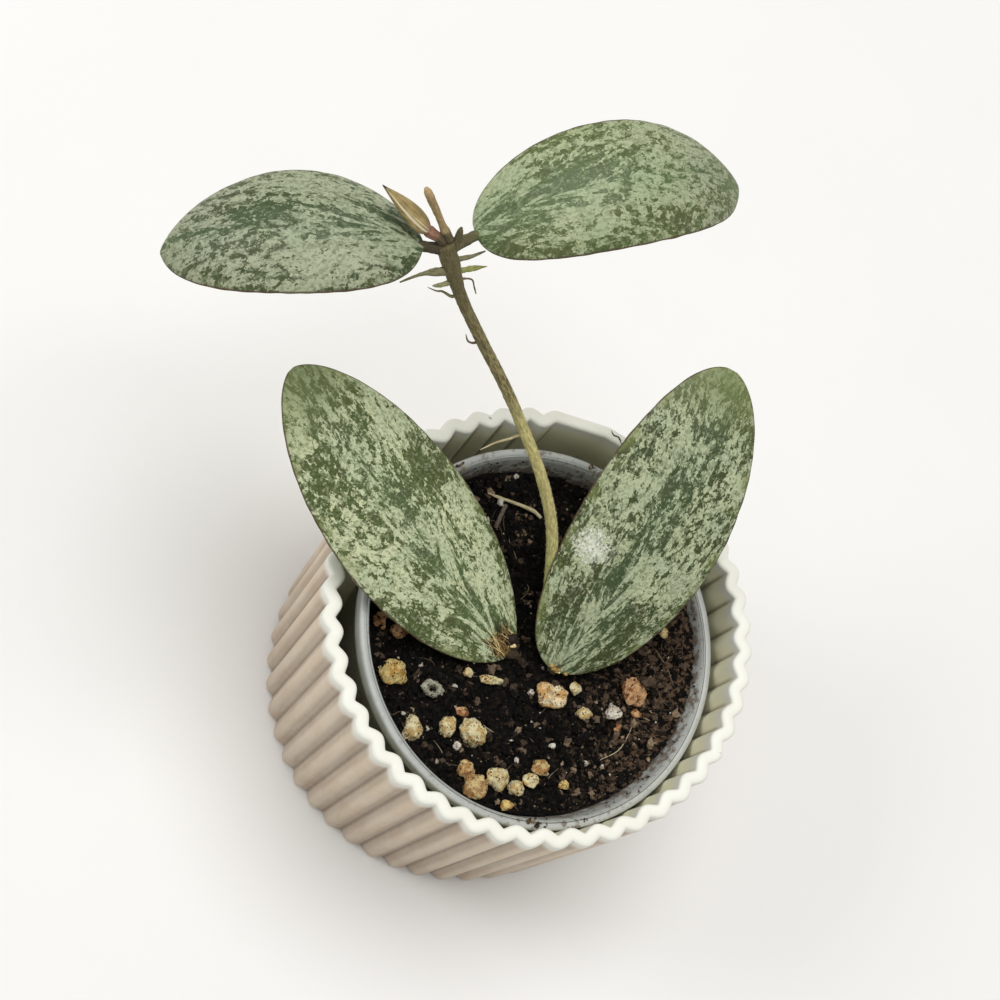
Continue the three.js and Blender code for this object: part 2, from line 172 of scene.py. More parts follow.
@functools.cache
def ball(detail):  # points and faces of an even round ball
    shape = bmesh.new()
    bmesh.ops.create_icosphere(shape, subdivisions=detail, radius=1)
    points = np.array([v.co[:] for v in shape.verts])
    faces = np.array([[v.index for v in f.verts] for f in shape.faces])
    shape.free()
    return points, faces


def lump(detail, size, rough, seed, knobs=1.4, cuts=0):
    # a broken stone or crumb of that size across, along and up
    points, faces = ball(detail)
    shift = Vector((seed * 3.1, seed * 1.7, seed * 2.3))
    rng = np.random.default_rng(int(abs(seed) * 1000) + 7)
    for _ in range(cuts):  # worn flat places all round
        way = rng.normal(size=3)
        way /= np.linalg.norm(way)
        over = np.clip(points @ way - rng.uniform(0.6, 0.9), 0, None)
        points = points - way * over[:, None] * 0.85
    swell = [
        1
        + rough * noise.fractal(Vector(p) * knobs + shift, 0.6, 2.1, 4)
        - rough * 0.5 * abs(noise.noise(Vector(p) * knobs * 2.6 + shift))
        for p in points
    ]
    return points * np.array(swell)[:, None] * np.asarray(size) / 2, faces


def joined(parts):  # many small closed shapes as one mesh, with a value for each shape
    points, faces, values, count = [], [], [], 0
    for shape, sides, value in parts:
        points.append(shape)
        faces += [[int(i) + count for i in side] for side in sides]
        values += [value] * len(shape)
        count += len(shape)
    return np.vstack(points), faces, np.array(values)


def spun(rng):  # a random turn
    q = rng.normal(size=4)
    w, x, y, z = q / np.linalg.norm(q)
    return np.array(
        [
            [1 - 2 * (y * y + z * z), 2 * (x * y - z * w), 2 * (x * z + y * w)],
            [2 * (x * y + z * w), 1 - 2 * (x * x + z * z), 2 * (y * z - x * w)],
            [2 * (x * z - y * w), 2 * (y * z + x * w), 1 - 2 * (x * x + y * y)],
        ]
    )


# shader helpers
bench = {}  # holds the node tree that is being made


class Wire:  # one value in the tree; a sum on it places a node that works it out
    def __init__(self, socket):
        self.socket = socket

    def __add__(self, other):
        return worked("ADD", self, other)

    def __sub__(self, other):
        return worked("SUBTRACT", self, other)

    def __rsub__(self, other):
        return worked("SUBTRACT", other, self)

    def __mul__(self, other):
        return worked("MULTIPLY", self, other)

    def __rtruediv__(self, other):
        return worked("DIVIDE", other, self)

    def __abs__(self):
        return worked("ABSOLUTE", self)


class Outlets:  # what a node gives, by name or number
    def __init__(self, sockets):
        self.sockets = sockets

    def __getitem__(self, key):
        return Wire(self.sockets[key])


def feed(socket, value):  # a wire or a plain value into a node
    if isinstance(value, Wire):
        bench["tree"].links.new(value.socket, socket)
    else:
        socket.default_value = value


def place(kind, wires=None, **settings):
    node = bench["tree"].nodes.new("ShaderNode" + kind)
    for key, value in settings.items():
        setattr(node, key, value)
    for key, value in (wires or {}).items():
        feed(node.inputs[key], value)
    return Outlets(node.outputs)


def paint(tone):  # a colour as a shader takes it: a wire as it is, a paint chip's 0 to 255 values made linear
    if isinstance(tone, Wire):
        return tone
    chip = np.array(tone) / 255
    linear = np.where(chip <= 0.04, chip / 12.92, ((chip + 0.055) / 1.055) ** 2.4)
    return (*[float(c) for c in linear], 1.0)


def mixed(amount, first, second):  # one colour over another
    return place("Mix", {0: amount, 6: paint(first), 7: paint(second)}, data_type="RGBA")[2]


def worked(how, first, second=0.0):  # one sum on two numbers
    return place("Math", {0: first, 1: second}, operation=how)[0]


def faded(value):  # e to the power of a value
    return worked("POWER", 2.718, value)


def between(value, low, high, toLow=0.0, toHigh=1.0):  # value from low to high as a soft step
    wires = {"Value": value, "From Min": low, "From Max": high, "To Min": toLow, "To Max": toHigh}
    return place("MapRange", wires, interpolation_type="SMOOTHSTEP")["Result"]


def cloud(vector, scale, detail=3.0, rough=0.5, twist=0.0):
    wires = {"Vector": vector, "Scale": scale, "Detail": detail, "Roughness": rough, "Distortion": twist}
    return place("TexNoise", wires)["Fac"]


def millimetres():  # the place on the object, in millimetres
    spot = place("TexCoord")["Object"]
    return place("VectorMath", {0: spot, "Scale": 1 / mm}, operation="SCALE")[0]


def madeOf(x, y, z):
    return place("CombineXYZ", {0: x, 1: y, 2: z})[0]


def split(vector):
    return place("SeparateXYZ", {0: vector})


def moved(vector, by):
    return place("VectorMath", {0: vector, 1: by}, operation="ADD")[0]


def named(key, output="Fac"):  # a value kept in the mesh
    return place("Attribute", attribute_name=key)[output]


def newGroup(name, takes):  # takes holds each input's usual value, or None for a vector
    group = bpy.data.node_groups.new(name, "ShaderNodeTree")
    for label, value in takes.items():
        kind = "NodeSocketVector" if value is None else "NodeSocketFloat"
        socket = group.interface.new_socket(label, in_out="INPUT", socket_type=kind)
        if value is not None:
            socket.default_value = value
    bench["tree"] = group
    return group, Outlets(group.nodes.new("NodeGroupInput").outputs)


def finishGroup(group, gives):
    for label in gives:
        group.interface.new_socket(label, in_out="OUTPUT", socket_type="NodeSocketFloat")
    ends = group.nodes.new("NodeGroupOutput").inputs
    for label, value in gives.items():
        feed(ends[label], value)


def useGroup(group, wires):
    return place("Group", wires, node_tree=group)


def newLook(name):
    look = bpy.data.materials.new(name)
    look.use_nodes = True
    bench["tree"] = look.node_tree
    return look


def finishLook(colour, rough, height=None, strength=0.5, depth=0.1, shine=0.5):
    surface = bench["tree"].nodes["Principled BSDF"].inputs
    feed(surface["Base Color"], colour)
    feed(surface["Roughness"], rough)
    feed(surface["Specular IOR Level"], shine)
    if height is not None:
        wires = {"Strength": strength, "Distance": depth * mm, "Height": height}
        feed(surface["Normal"], place("Bump", wires)[0])


# effects that several finishes share
mottleGroup, takes = newGroup("mottle", {"Size": 4.0, "Detail": 4.0, "Seed": 0.0})
spot = moved(millimetres(), takes["Seed"])
finishGroup(mottleGroup, {"Value": between(cloud(spot, 1.0 / takes["Size"], takes["Detail"], 0.6), 0.3, 0.7)})

specksGroup, takes = newGroup("specks", {"Spacing": 1.5, "Share": 0.4, "Reach": 0.3, "Seed": 0.0})
spot = moved(millimetres(), takes["Seed"])
cells = place("TexVoronoi", {"Vector": spot, "Scale": 1.0 / takes["Spacing"]})
tone = place("SeparateColor", {0: cells["Color"]})
reach = takes["Reach"] * tone[1]
ragged = cells["Distance"] + between(cloud(spot, 3.0, 2.0), 0.0, 1.0, -0.1, 0.1)
kept = worked("LESS_THAN", tone[0], takes["Share"])
finishGroup(specksGroup, {"Mask": between(ragged, reach * 0.8, reach, 1.0, 0.0) * kept})

poresGroup, takes = newGroup("pores", {"Size": 0.5, "Depth": 0.6, "Seed": 0.0})
spot = moved(millimetres(), takes["Seed"])
bent = moved(spot, cloud(spot, 1.6, 3.0))
wires = {"Vector": bent, "Scale": 1.0 / takes["Size"], "Smoothness": 0.3}
hole = place("TexVoronoi", wires, feature="SMOOTH_F1")["Distance"]
patchy = between(cloud(spot, 0.9, 2.0), 0.42, 0.6)
pit = between(hole, 0.12, 0.42, 1.0, 0.0) * patchy * takes["Depth"]
finishGroup(poresGroup, {"Height": cloud(spot, 5.0, 4.0, 0.65) - pit, "Pit": pit})

grainGroup, takes = newGroup("bark grain", {"Run": None, "Fineness": 1.0})
run = split(takes["Run"])  # mm along, turn, seed
turned = madeOf(run[0] * 0.35, worked("SINE", run[1]) * 1.2, worked("COSINE", run[1]) * 1.2 + run[2])
streak = cloud(turned, takes["Fineness"] * 2.0, 4.0, 0.6)
wart = cloud(millimetres(), takes["Fineness"] * 4.0, 3.0, 0.6)
finishGroup(grainGroup, {"Streak": between(streak, 0.35, 0.65), "Wart": between(wart, 0.45, 0.7)})

takes = {"Blade": None, "Lean": 0.0, "Cover": 0.5, "Seed": 0.0, "Drawn": 1.45, "Close": 1.0}
splashGroup, takes = newGroup("leaf splashes", takes)
blade = split(takes["Blade"])  # mm along, mm across, share of the length
across = abs(blade[1])
sideSeed = worked("SIGN", blade[1]) * 9.0 + takes["Seed"]
fanned = (1.0 - faded(blade[0] * (-1 / 24))) * 8.0
wander = madeOf(blade[0] * 0.08, blade[1] * 0.12, takes["Seed"])
wander = (cloud(wander, 1.0, 1.0) - 0.5) * 3.0
veinWise = across - fanned + wander  # the same all along a side vein


def splashCloud(alongScale, acrossScale, detail, rough, twist, extra, scale=1.0):
    spot = madeOf(blade[0] * alongScale, veinWise * acrossScale, sideSeed + extra)
    return cloud(spot, scale, detail, rough, twist)


ragged = splashCloud(0.5, 0.86, 6.0, 0.63, 0.12, 0.0)
cluster = splashCloud(0.09, 0.19, 2.0, 0.5, 0.0, 31.0)
streaks = splashCloud(0.105, 0.98, 5.0, 0.6, 0.03, 57.0, takes["Close"])
grit = splashCloud(1.9, 2.7, 3.0, 0.6, 0.3, 71.0)
flecks = splashCloud(1.1, 1.7, 4.0, 0.6, 0.3, 83.0)
cellSpot = madeOf(blade[0] * 2.1, blade[1] * 2.9, sideSeed)
cellSpot = moved(cellSpot, cloud(cellSpot, 1.3, 2.0))
cells = place("TexVoronoi", {"Vector": cellSpot, "Scale": 1.0})["Color"]
cellTones = place("SeparateColor", {0: cells})
ribShade = faded(across * across * -0.045)  # one at the midrib, fading in a few millimetres
streaky = ribShade * between(blade[2], 0.12, 0.6, 1.0, 0.12)
blotchy = 1.0 - streaky * 0.6
level = (ragged - 0.5) * blotchy
level = level + (cluster - 0.5) * 0.5
level = level + (streaks - 0.49) * (streaky * takes["Drawn"] + 0.16)
level = level + (grit - 0.5) * 0.4 * blotchy
level = level + (cellTones[0] - 0.5) * 0.07
level = level + takes["Lean"] * 1.05 + 0.5
edge = 1.0 - takes["Cover"]
gives = {
    "Green": between(level, edge - 0.008, edge + 0.012),
    "Deep": between(level, edge - 0.01, edge + 0.06),
    "Fleck": between(flecks, 0.53, 0.62),
    "Vein": between(streaks, 0.3, 0.7),
    "Cell": cellTones[1],
}
finishGroup(splashGroup, gives)
print("shared effects made")


def mottle(size, detail, seed):
    return useGroup(mottleGroup, {"Size": size, "Detail": detail, "Seed": seed})["Value"]


def specks(spacing, share, reach, seed):
    return useGroup(specksGroup, {"Spacing": spacing, "Share": share, "Reach": reach, "Seed": seed})["Mask"]


def fineGrain(scale, detail, rough=0.5):  # noise over the object, for a finish's fine height
    return cloud(millimetres(), scale, detail, rough)


# camera
camera = {
    "place": (-106.147, -97.089, 376.901),
    "right": (0.948929, 0.065453, 0.308627),
    "up": (-0.161460, 0.941181, 0.296833),
    "lens": 72.0,
    "sensor": 36.0,
}
lensData = bpy.data.cameras.new("camera")
lensData.lens = camera["lens"]
lensData.sensor_width = camera["sensor"]
lensData.clip_start = 0.01
lensData.clip_end = 50
cameraPiece = linked("camera", lensData)
right = Vector(camera["right"]).normalized()
up = Vector(camera["up"])
up = (up - right * up.dot(right)).normalized()
turn = Matrix((right, up, right.cross(up))).transposed().to_4x4()
cameraPiece.matrix_world = Matrix.Translation(Vector(camera["place"]) * mm) @ turn
bpy.context.scene.camera = cameraPiece
print("camera placed")


# cover pot
coverPot = {
    "height": 55.5,
    "crest": 40.0,  # outer reach on a flute's crest, at the rim
    "notch": 38.7,
    "innerNotch": 37.8,
    "innerCrest": 36.5,
    "baseRatio": 0.963,
    "floor": 3.0,
    "pitch": 7.5,  # degrees from one flute to the next
    "blunt": 0.006,  # how far the sharp edges between flutes are rounded
    "facetsFrom": 60.0,
    "facetsTo": 90.0,
    "facet": 15.0,
    "lip": 0.95,  # how far the rounding of the rim reaches down
    "around": 576,
    "recess": 0.6,
    "cream": (244, 244, 235),
    "shade": (232, 231, 217),
    "beige": (215, 190, 159),  # painted warm shade on the outside below the rim
    "low": (150, 120, 93),  # deeper painted shade near the foot and between the flutes
    "sage": (250, 246, 210),  # the damp inside
    # painted shade and grime along the flute valleys
    "grime": (112, 92, 70),
    "dirt": (88, 74, 58),
}


def onFacet(deg):
    return (deg > coverPot["facetsFrom"]) & (deg < coverPot["facetsTo"])


def fluteReach(deg, crest, notch, crestIsRound):
    half = np.radians(deg / coverPot["pitch"] * 180)
    blunt = coverPot["blunt"]
    wave = np.sqrt((np.cos(half) if crestIsRound else np.sin(half)) ** 2 * (1 - blunt) + blunt)
    reach = notch + (crest - notch) * (wave if crestIsRound else 1 - wave)
    facet = coverPot["facet"]
    middle = coverPot["facetsFrom"] + facet * (np.floor((deg - coverPot["facetsFrom"]) / facet) + 0.5)
    flat = crest * math.cos(math.radians(facet / 2)) / np.cos(np.radians(deg - middle))
    return np.where(onFacet(deg), flat, reach)


def coverPotMesh():
    pot = coverPot
    deg = np.arange(pot["around"]) / pot["around"] * 360
    outer = fluteReach(deg, pot["crest"], pot["notch"], True)
    inner = fluteReach(deg, pot["innerNotch"], pot["innerCrest"], False) - 0.15
    notch = pot["notch"]

    def taper(z):
        return pot["baseRatio"] + (1 - pot["baseRatio"]) * z / pot["height"]

    foot = notch * taper(0)
    recess = pot["recess"]
    rows = [(foot - 5.2, recess), (foot - 4.4, recess * 0.7), (foot - 4.0, 0.0), (foot - 1.1, 0.0)]
    for z, blend in ((0.12, 0.35), (0.4, 0.62), (0.9, 0.85), (1.6, 1.0)):
        rows.append(((notch - 0.9 + (outer - notch + 0.9) * blend) * taper(z), z))
    lipFrom = pot["height"] - pot["lip"]
    rows += [(outer * taper(z), z) for z in np.linspace(4, lipFrom, 12)]
    middle = (outer + inner) / 2
    half = (outer - inner) / 2
    for angle in np.linspace(0, math.pi, 13)[1:-1]:
        z = lipFrom + pot["lip"] * math.sin(angle) ** 0.7
        squarer = math.copysign(abs(math.cos(angle)) ** 0.7, math.cos(angle))
        rows.append(((middle + half * squarer) * taper(z), z))
    outsideRows = len(rows) - 6
    rows += [(inner * taper(z), z) for z in np.linspace(lipFrom, pot["floor"] + 1.6, 12)]
    for z, blend in ((0.9, 0.3), (0.35, 0.7), (0.0, 1.3)):
        reach = inner + (pot["innerCrest"] - inner) * min(blend, 1) - blend
        rows.append((reach * taper(pot["floor"]), pot["floor"] + z))
    points, faces = turnedSkin(rows, np.radians(deg))
    wave = np.radians(deg / pot["pitch"] * 180)
    outerValley = np.where(onFacet(deg), 0.2, 1 - np.abs(np.cos(wave)))
    innerValley = np.where(onFacet(deg), 0.2, 1 - np.abs(np.sin(wave)))
    inside = np.repeat(np.arange(len(rows)) >= outsideRows, pot["around"])
    valley = np.where(inside, np.tile(innerValley, len(rows)), np.tile(outerValley, len(rows)))
    return points, faces, {"valley": valley, "inside": inside}


coverLook = newLook("matt cream cover pot")
spot = split(millimetres())
valley = named("valley")
colour = mixed(mottle(9.0, 5.0, 3.0) * 0.45, coverPot["cream"], coverPot["shade"])
belowRim = between(spot[2], coverPot["height"] - 4.5, coverPot["height"] - 1.0, 1.0, 0.0)
drawn = cloud(madeOf(spot[0] * 0.5, spot[1] * 0.5, spot[2] * 0.08), 1.0, 3.0, 0.5)  # faint upright streaks
# painted shade: the outside below the rim is a warm shaded beige, darker towards the foot
wall = mixed(between(spot[2], 48.0, 4.0, 0.0, 0.42), coverPot["beige"], coverPot["low"])
# painted shade across the flute valleys
wall = mixed(between(valley, 0.02, 0.42) * 0.6, wall, coverPot["low"])
wall = mixed(between(drawn, 0.3, 0.7) * 0.2, wall, coverPot["shade"])
side = mixed(named("inside"), wall, coverPot["sage"])
# painted shade: the shaded outside colours and the inside tint go on below the rim, which stays cream
colour = mixed(belowRim * 0.85, colour, side)
# painted shade and grime as dark lines in the flute valleys
colour = mixed(between(valley, 0.6, 1.0) * belowRim * 0.58, colour, coverPot["grime"])
colour = mixed(specks(2.6, 0.12, 0.13, 5.0) * 0.55, colour, coverPot["dirt"])
dusty = between(mottle(2.2, 6.0, 17.0), 0.0, 1.0, 0.5, 0.66)
finishLook(colour, dusty, fineGrain(4.0, 3.0, 0.6), 0.12, 0.06)
points, faces, values = coverPotMesh()
addPiece("fluted_cover_pot", points, faces, coverLook, "cache_pot", values)
print("cover pot made")


# nursery pot, leaning in the cover pot
nurseryPot = {
    "lean": 6.6,
    "leanTowards": -27.5,
    "height": 45.6,
    "rim": 34.3,
    "bandInner": 32.8,
    "skirt": 3.2,
    "base": 24.8,
    "wall": 0.6,
    "foot": (-3.6, 0.85, 6.15),
    "around": 192,
    "drainHole": 2.5,
    "drainRing": 15.0,
    "drainHoles": 6,
    "plastic": (170, 173, 170),
    "cloudy": (191, 194, 191),
    "scuff": (190, 193, 192),
    "soil": (98, 79, 60),
}
lean = math.radians(nurseryPot["lean"])
leanAxis = Vector((math.sin(lean), 0, math.cos(lean)))
leanAxis.rotate(Matrix.Rotation(math.radians(nurseryPot["leanTowards"]), 3, "Z"))
leanTurn = np.array(Vector((0, 0, 1)).rotation_difference(leanAxis).to_matrix())


def leaned(points):  # from the nursery pot's own frame into the object's
    return np.asarray(points, float) @ leanTurn.T + np.array(nurseryPot["foot"])


def nurseryInner(z):
    pot = nurseryPot
    widening = pot["bandInner"] - 0.3 - pot["base"] + pot["wall"]
    return pot["base"] - pot["wall"] + widening * z / pot["height"]


def nurseryMesh():
    pot = nurseryPot
    base, rim, band, wall = pot["base"], pot["rim"], pot["bandInner"], pot["wall"]
    top, skirt = pot["height"], pot["height"] - pot["skirt"]
    rows = [(base - 3.0, 0.35), (base - 2.4, 0.0), (base - 0.7, 0.0), (base - 0.2, 0.15), (base, 0.6)]
    rows += [(nurseryInner(z) + wall, z) for z in np.linspace(6, skirt - 0.5, 10)]
    rows += [(nurseryInner(skirt) + wall + 0.3, skirt), (rim - 0.5, skirt), (rim - 0.12, skirt + 0.15)]
    rows += [(rim, skirt + 0.5), (rim - 0.1, skirt + 1.4), (rim, top - 0.5), (rim - 0.12, top - 0.15)]
    rows += [(rim - 0.4, top), (rim - 1.2, top - 0.04), (rim - 1.35, top - 0.2), (rim - 1.5, top - 0.22)]
    rows += [(rim - 1.65, top - 0.06), (band + 0.25, top - 0.02), (band, top - 0.1)]
    rows += [(nurseryInner(top), top - 0.45)]
    rows += [(nurseryInner(z), z) for z in np.linspace(top - 1.2, 1.4, 24)]
    rows += [(nurseryInner(0.8) - 0.4, 0.75), (nurseryInner(0.7) - 1.4, wall + 0.1)]
    return turnedSkin(rows, turnsOf(pot["around"]))


def soilOnPot(points):  # how soiled each point of the pot is: most inside, and on two stretches of the rim
    inside = np.hypot(points[:, 0], points[:, 1]) < nurseryInner(points[:, 2]) + 0.2
    heading = np.degrees(np.arctan2(points[:, 1], points[:, 0]))
    soiled = np.where(inside, 0.95 - 0.13 * (points[:, 2] - 39.5) + 0.14 * bell(heading, 5, 55), 0.05)
    onBand = (points[:, 2] > nurseryPot["height"] - 0.3) & ~inside
    soiled = np.where(onBand, 0.08 + 0.28 * (bell(heading, -82, 26) + 0.9 * bell(heading, 84, 34)), soiled)
    return np.clip(soiled, 0, 1.1)


def cutDrainHoles(piece):
    pot = nurseryPot
    parts = []
    for angle in turnsOf(pot["drainHoles"]):
        centre = np.array([*polar(pot["drainRing"], angle), 0])
        shape, sides, _ = tube([centre + (0, 0, -2), centre + (0, 0, 3)], [pot["drainHole"]] * 2, 24)
        parts.append((shape, sides, 0))
    points, faces, _ = joined(parts)
    pegs = linked("drain pegs", newMesh("drain pegs", leaned(points), faces))
    cut = piece.modifiers.new("drain holes", "BOOLEAN")
    cut.object = pegs
    cut.operation = "DIFFERENCE"
    bpy.context.view_layer.update()
    done = bpy.data.meshes.new_from_object(piece.evaluated_get(bpy.context.evaluated_depsgraph_get()))
    piece.modifiers.clear()
    piece.data = done
    bpy.data.objects.remove(pegs)


thinLook = newLook("thin grey nursery plastic")
scuffed = mottle(0.8, 5.0, 21.0)
soiled = named("soiled")
colour = mixed(mottle(5.0, 5.0, 8.0) * 0.5, nurseryPot["plastic"], nurseryPot["cloudy"])
colour = mixed(scuffed * 0.15, colour, nurseryPot["scuff"])
smeared = between(mottle(1.7, 7.0, 40.0) + soiled, 0.88, 1.34)
smeared = smeared + specks(0.75, 0.5, 0.42, 2.0) * between(soiled, 0.06, 0.5, 0.2, 1.0)
smeared = worked("MINIMUM", smeared, 1.0)
colour = mixed(smeared * 0.78, colour, nurseryPot["soil"])
finishLook(colour, between(smeared, 0.0, 1.0, 0.36, 0.8), scuffed, 0.15, 0.1, shine=0.4)
points, faces = nurseryMesh()
values = {"soiled": soilOnPot(points)}
points = leaned(points)
thinPot = addPiece("thin_nursery_pot", points, faces, thinLook, "nursery_pot", values)
cutDrainHoles(thinPot)
print("nursery pot made")


# potting mix
mix = {
    "top": nurseryPot["height"] - 5.6,
    "sink": 0.35,
    "climb": 3.2,  # how far the mix rises up the wall on its damp side
    "climbHeading": 5.0,
    "rings": 130,
    "around": 620,
    "dark": (25, 20, 15),
    "brown": (120, 96, 74),
    "damp": (5, 4, 3),
    "pale": (176, 160, 128),
}


def mixHeight(x, y):  # the mix's surface in the nursery pot's frame
    heading = math.degrees(math.atan2(y, x))
    climb = 0.5 + mix["climb"] * float(bell(heading, mix["climbHeading"], 48))
    climb *= float(smoothStep(math.hypot(x, y), 25.5, 31.0))
    spot = Vector((x, y, 0))
    rolling = 0.45 * noise.noise(spot * 0.16) + 0.5 * noise.fractal(spot * 0.45, 0.7, 2.0, 3)
    near, _ = noise.voronoi(spot * 0.75 + Vector((3, 5, 0)))
    fineNear, _ = noise.voronoi(spot * 1.8 + Vector((8, 1, 0)))
    clods = 1.1 * (near[1] - near[0])
    return mix["top"] - mix["sink"] + climb + rolling + clods + 0.6 * (fineNear[1] - fineNear[0]) - 0.5


def mixMesh():
    points = []
    edge = nurseryInner(mix["top"]) - 0.25
    for share in np.linspace(0.004, 1, mix["rings"]) ** 0.86:
        for a in turnsOf(mix["around"]):
            x, y = polar(share * edge, a)
            z = mixHeight(x, y)
            stretch = (nurseryInner(z) - 0.25) / edge if share > 0.97 else 1
            points.append((x * stretch, y * stretch, z))
    sideHeights = (mix["top"] - 3, 12.0, 1.4)
    for z in sideHeights:
        points += [(*polar(nurseryInner(z) - 0.3, a), z) for a in turnsOf(mix["around"])]
    return points, ringFaces(mix["rings"] + len(sideHeights), mix["around"])


mixLook = newLook("dark crumbly mix")
tone = mottle(0.9, 8.0, 1.0)
rightward = between(split(millimetres())[0] + mottle(9.0, 2.0, 6.0) * 8.0, 10.0, 28.0)
colour = mixed(between(tone, 0.45, 1.0), mix["damp"], mix["dark"])
colour = mixed(between(tone, 0.45, 0.85) * (rightward + 0.1), colour, mix["brown"])
colour = mixed(specks(1.5, 0.16, 0.16, 12.0) * 0.75, colour, mix["pale"])
finishLook(colour, between(tone, 0.2, 0.9, 0.6, 0.95), fineGrain(2.6, 8.0, 0.72), 1.0, 1.0, shine=0.24)
points, faces = mixMesh()
addPiece("potting_mix", leaned(points), faces, mixLook, "soil")
print("mix made")


# crumbs on the mix, on the rim and on the wall
crumbs = {
    "count": 6300,
    "seed": 41,
    "sizes": (0.34, 1.8),
    "edge": 31.2,
    "onRim": [  # x, y, size, count
        (1.7, -33.1, 1.0, 9), (3.2, -32.9, 0.7, 6), (11.4, -31.3, 0.6, 3),
        (21.2, -24.7, 0.5, 3), (-18.7, 28.3, 0.9, 9), (7.3, 32.5, 0.9, 8),
    ],
    "rimReach": (32.2, 33.7),
    "onWall": 90,
    "clumps": [(-2.6, 18.7, 0.85, 12), (-1.0, 7.7, 0.8, 12)],  # x, y, spread, count
    "dark": (7, 6, 5),
    "brown": (110, 91, 75),
    "pale": (168, 146, 120),
    "dust": (18, 14, 11),
}


def onDisc(rng, most):  # a random place on a round surface
    reach = most * math.sqrt(rng.uniform())
    return polar(reach, rng.uniform(0, fullTurn))


def crumb(rng, detail, size, rough, seed, spot, tones, power=1.0):  # one turned crumb and its tone
    shape, sides = lump(detail, size, rough, seed, 1.7)
    return leaned(shape @ spun(rng).T + spot), sides, rng.uniform(*tones) ** power


def scatterCrumbs():
    rng = np.random.default_rng(crumbs["seed"])
    parts = []
    low, high = crumbs["sizes"]
    for i in range(crumbs["count"]):
        x, y = onDisc(rng, 30.6)
        size = low + (high - low) * rng.uniform() ** 4
        size = min(size, (crumbs["edge"] - math.hypot(x, y)) * 1.6 + 0.4)
        sizes = size * rng.uniform(0.55, 1.2, 3)
        spot = (x, y, mixHeight(x, y) + size * rng.uniform(0.0, 0.3))
        drier = float(smoothStep(x - 0.3 * y, 8, 26))  # the mix is drier and browner on the right
        detail = 1 if size < 1.1 else 2
        parts.append(crumb(rng, detail, sizes, 0.9, i * 0.37, spot, (0, 1), 2.6 - 2.0 * drier))
    for x, y, size, count in crumbs["onRim"]:
        for i in range(count):
            atX, atY = (x, y) + rng.normal(scale=size * 0.8, size=2)
            big = size * rng.uniform(0.35, 0.9)
            sizes = big * rng.uniform(0.6, 1.2, 3)
            keep = np.clip(math.hypot(atX, atY), *crumbs["rimReach"]) / math.hypot(atX, atY)
            spot = (atX * keep, atY * keep, nurseryPot["height"] + big * 0.25)
            parts.append(crumb(rng, 2, sizes, 0.8, i * 0.7 + x, spot, (0.55, 1.0)))
    for i in range(crumbs["onWall"]):
        heading = math.radians(rng.normal(30, 60))
        z = mix["top"] + rng.uniform(0.5, 4.6)
        big = rng.uniform(0.25, 0.6)
        sizes = big * rng.uniform(0.6, 1.2, 3)
        spot = (*polar(nurseryInner(z) - 0.12, heading), z)
        parts.append(crumb(rng, 1, sizes, 0.6, i * 0.9 + 5, spot, (0.1, 0.7)))
    for x, y, spread, count in crumbs["clumps"]:
        for i in range(count):
            atX, atY = x + rng.normal(scale=spread), y + rng.normal(scale=spread)
            big = rng.uniform(0.35, 0.95)
            sizes = big * rng.uniform(0.6, 1.2, 3)
            spot = (atX, atY, mixHeight(atX, atY) + big * 0.35)
            parts.append(crumb(rng, 2, sizes, 0.8, i * 0.8 + x, spot, (0.75, 1.0)))
    return joined(parts)


crumbLook = newLook("bark and peat crumbs")
tone = named("tone")
colour = mixed(between(tone, 0.3, 0.95), crumbs["dark"], crumbs["brown"])
colour = mixed(between(tone, 0.88, 1.0), colour, crumbs["pale"])
colour = mixed(mottle(0.5, 5.0, 9.0) * 0.4, colour, crumbs["dust"])
finishLook(colour, 0.7, fineGrain(5.0, 5.0, 0.7), 0.9, 0.25, shine=0.18)
points, faces, tones = scatterCrumbs()
addPiece("mix_crumbs", points, faces, crumbLook, None, {"tone": tones}, smooth=False)
print("crumbs made:", len(faces), "faces")


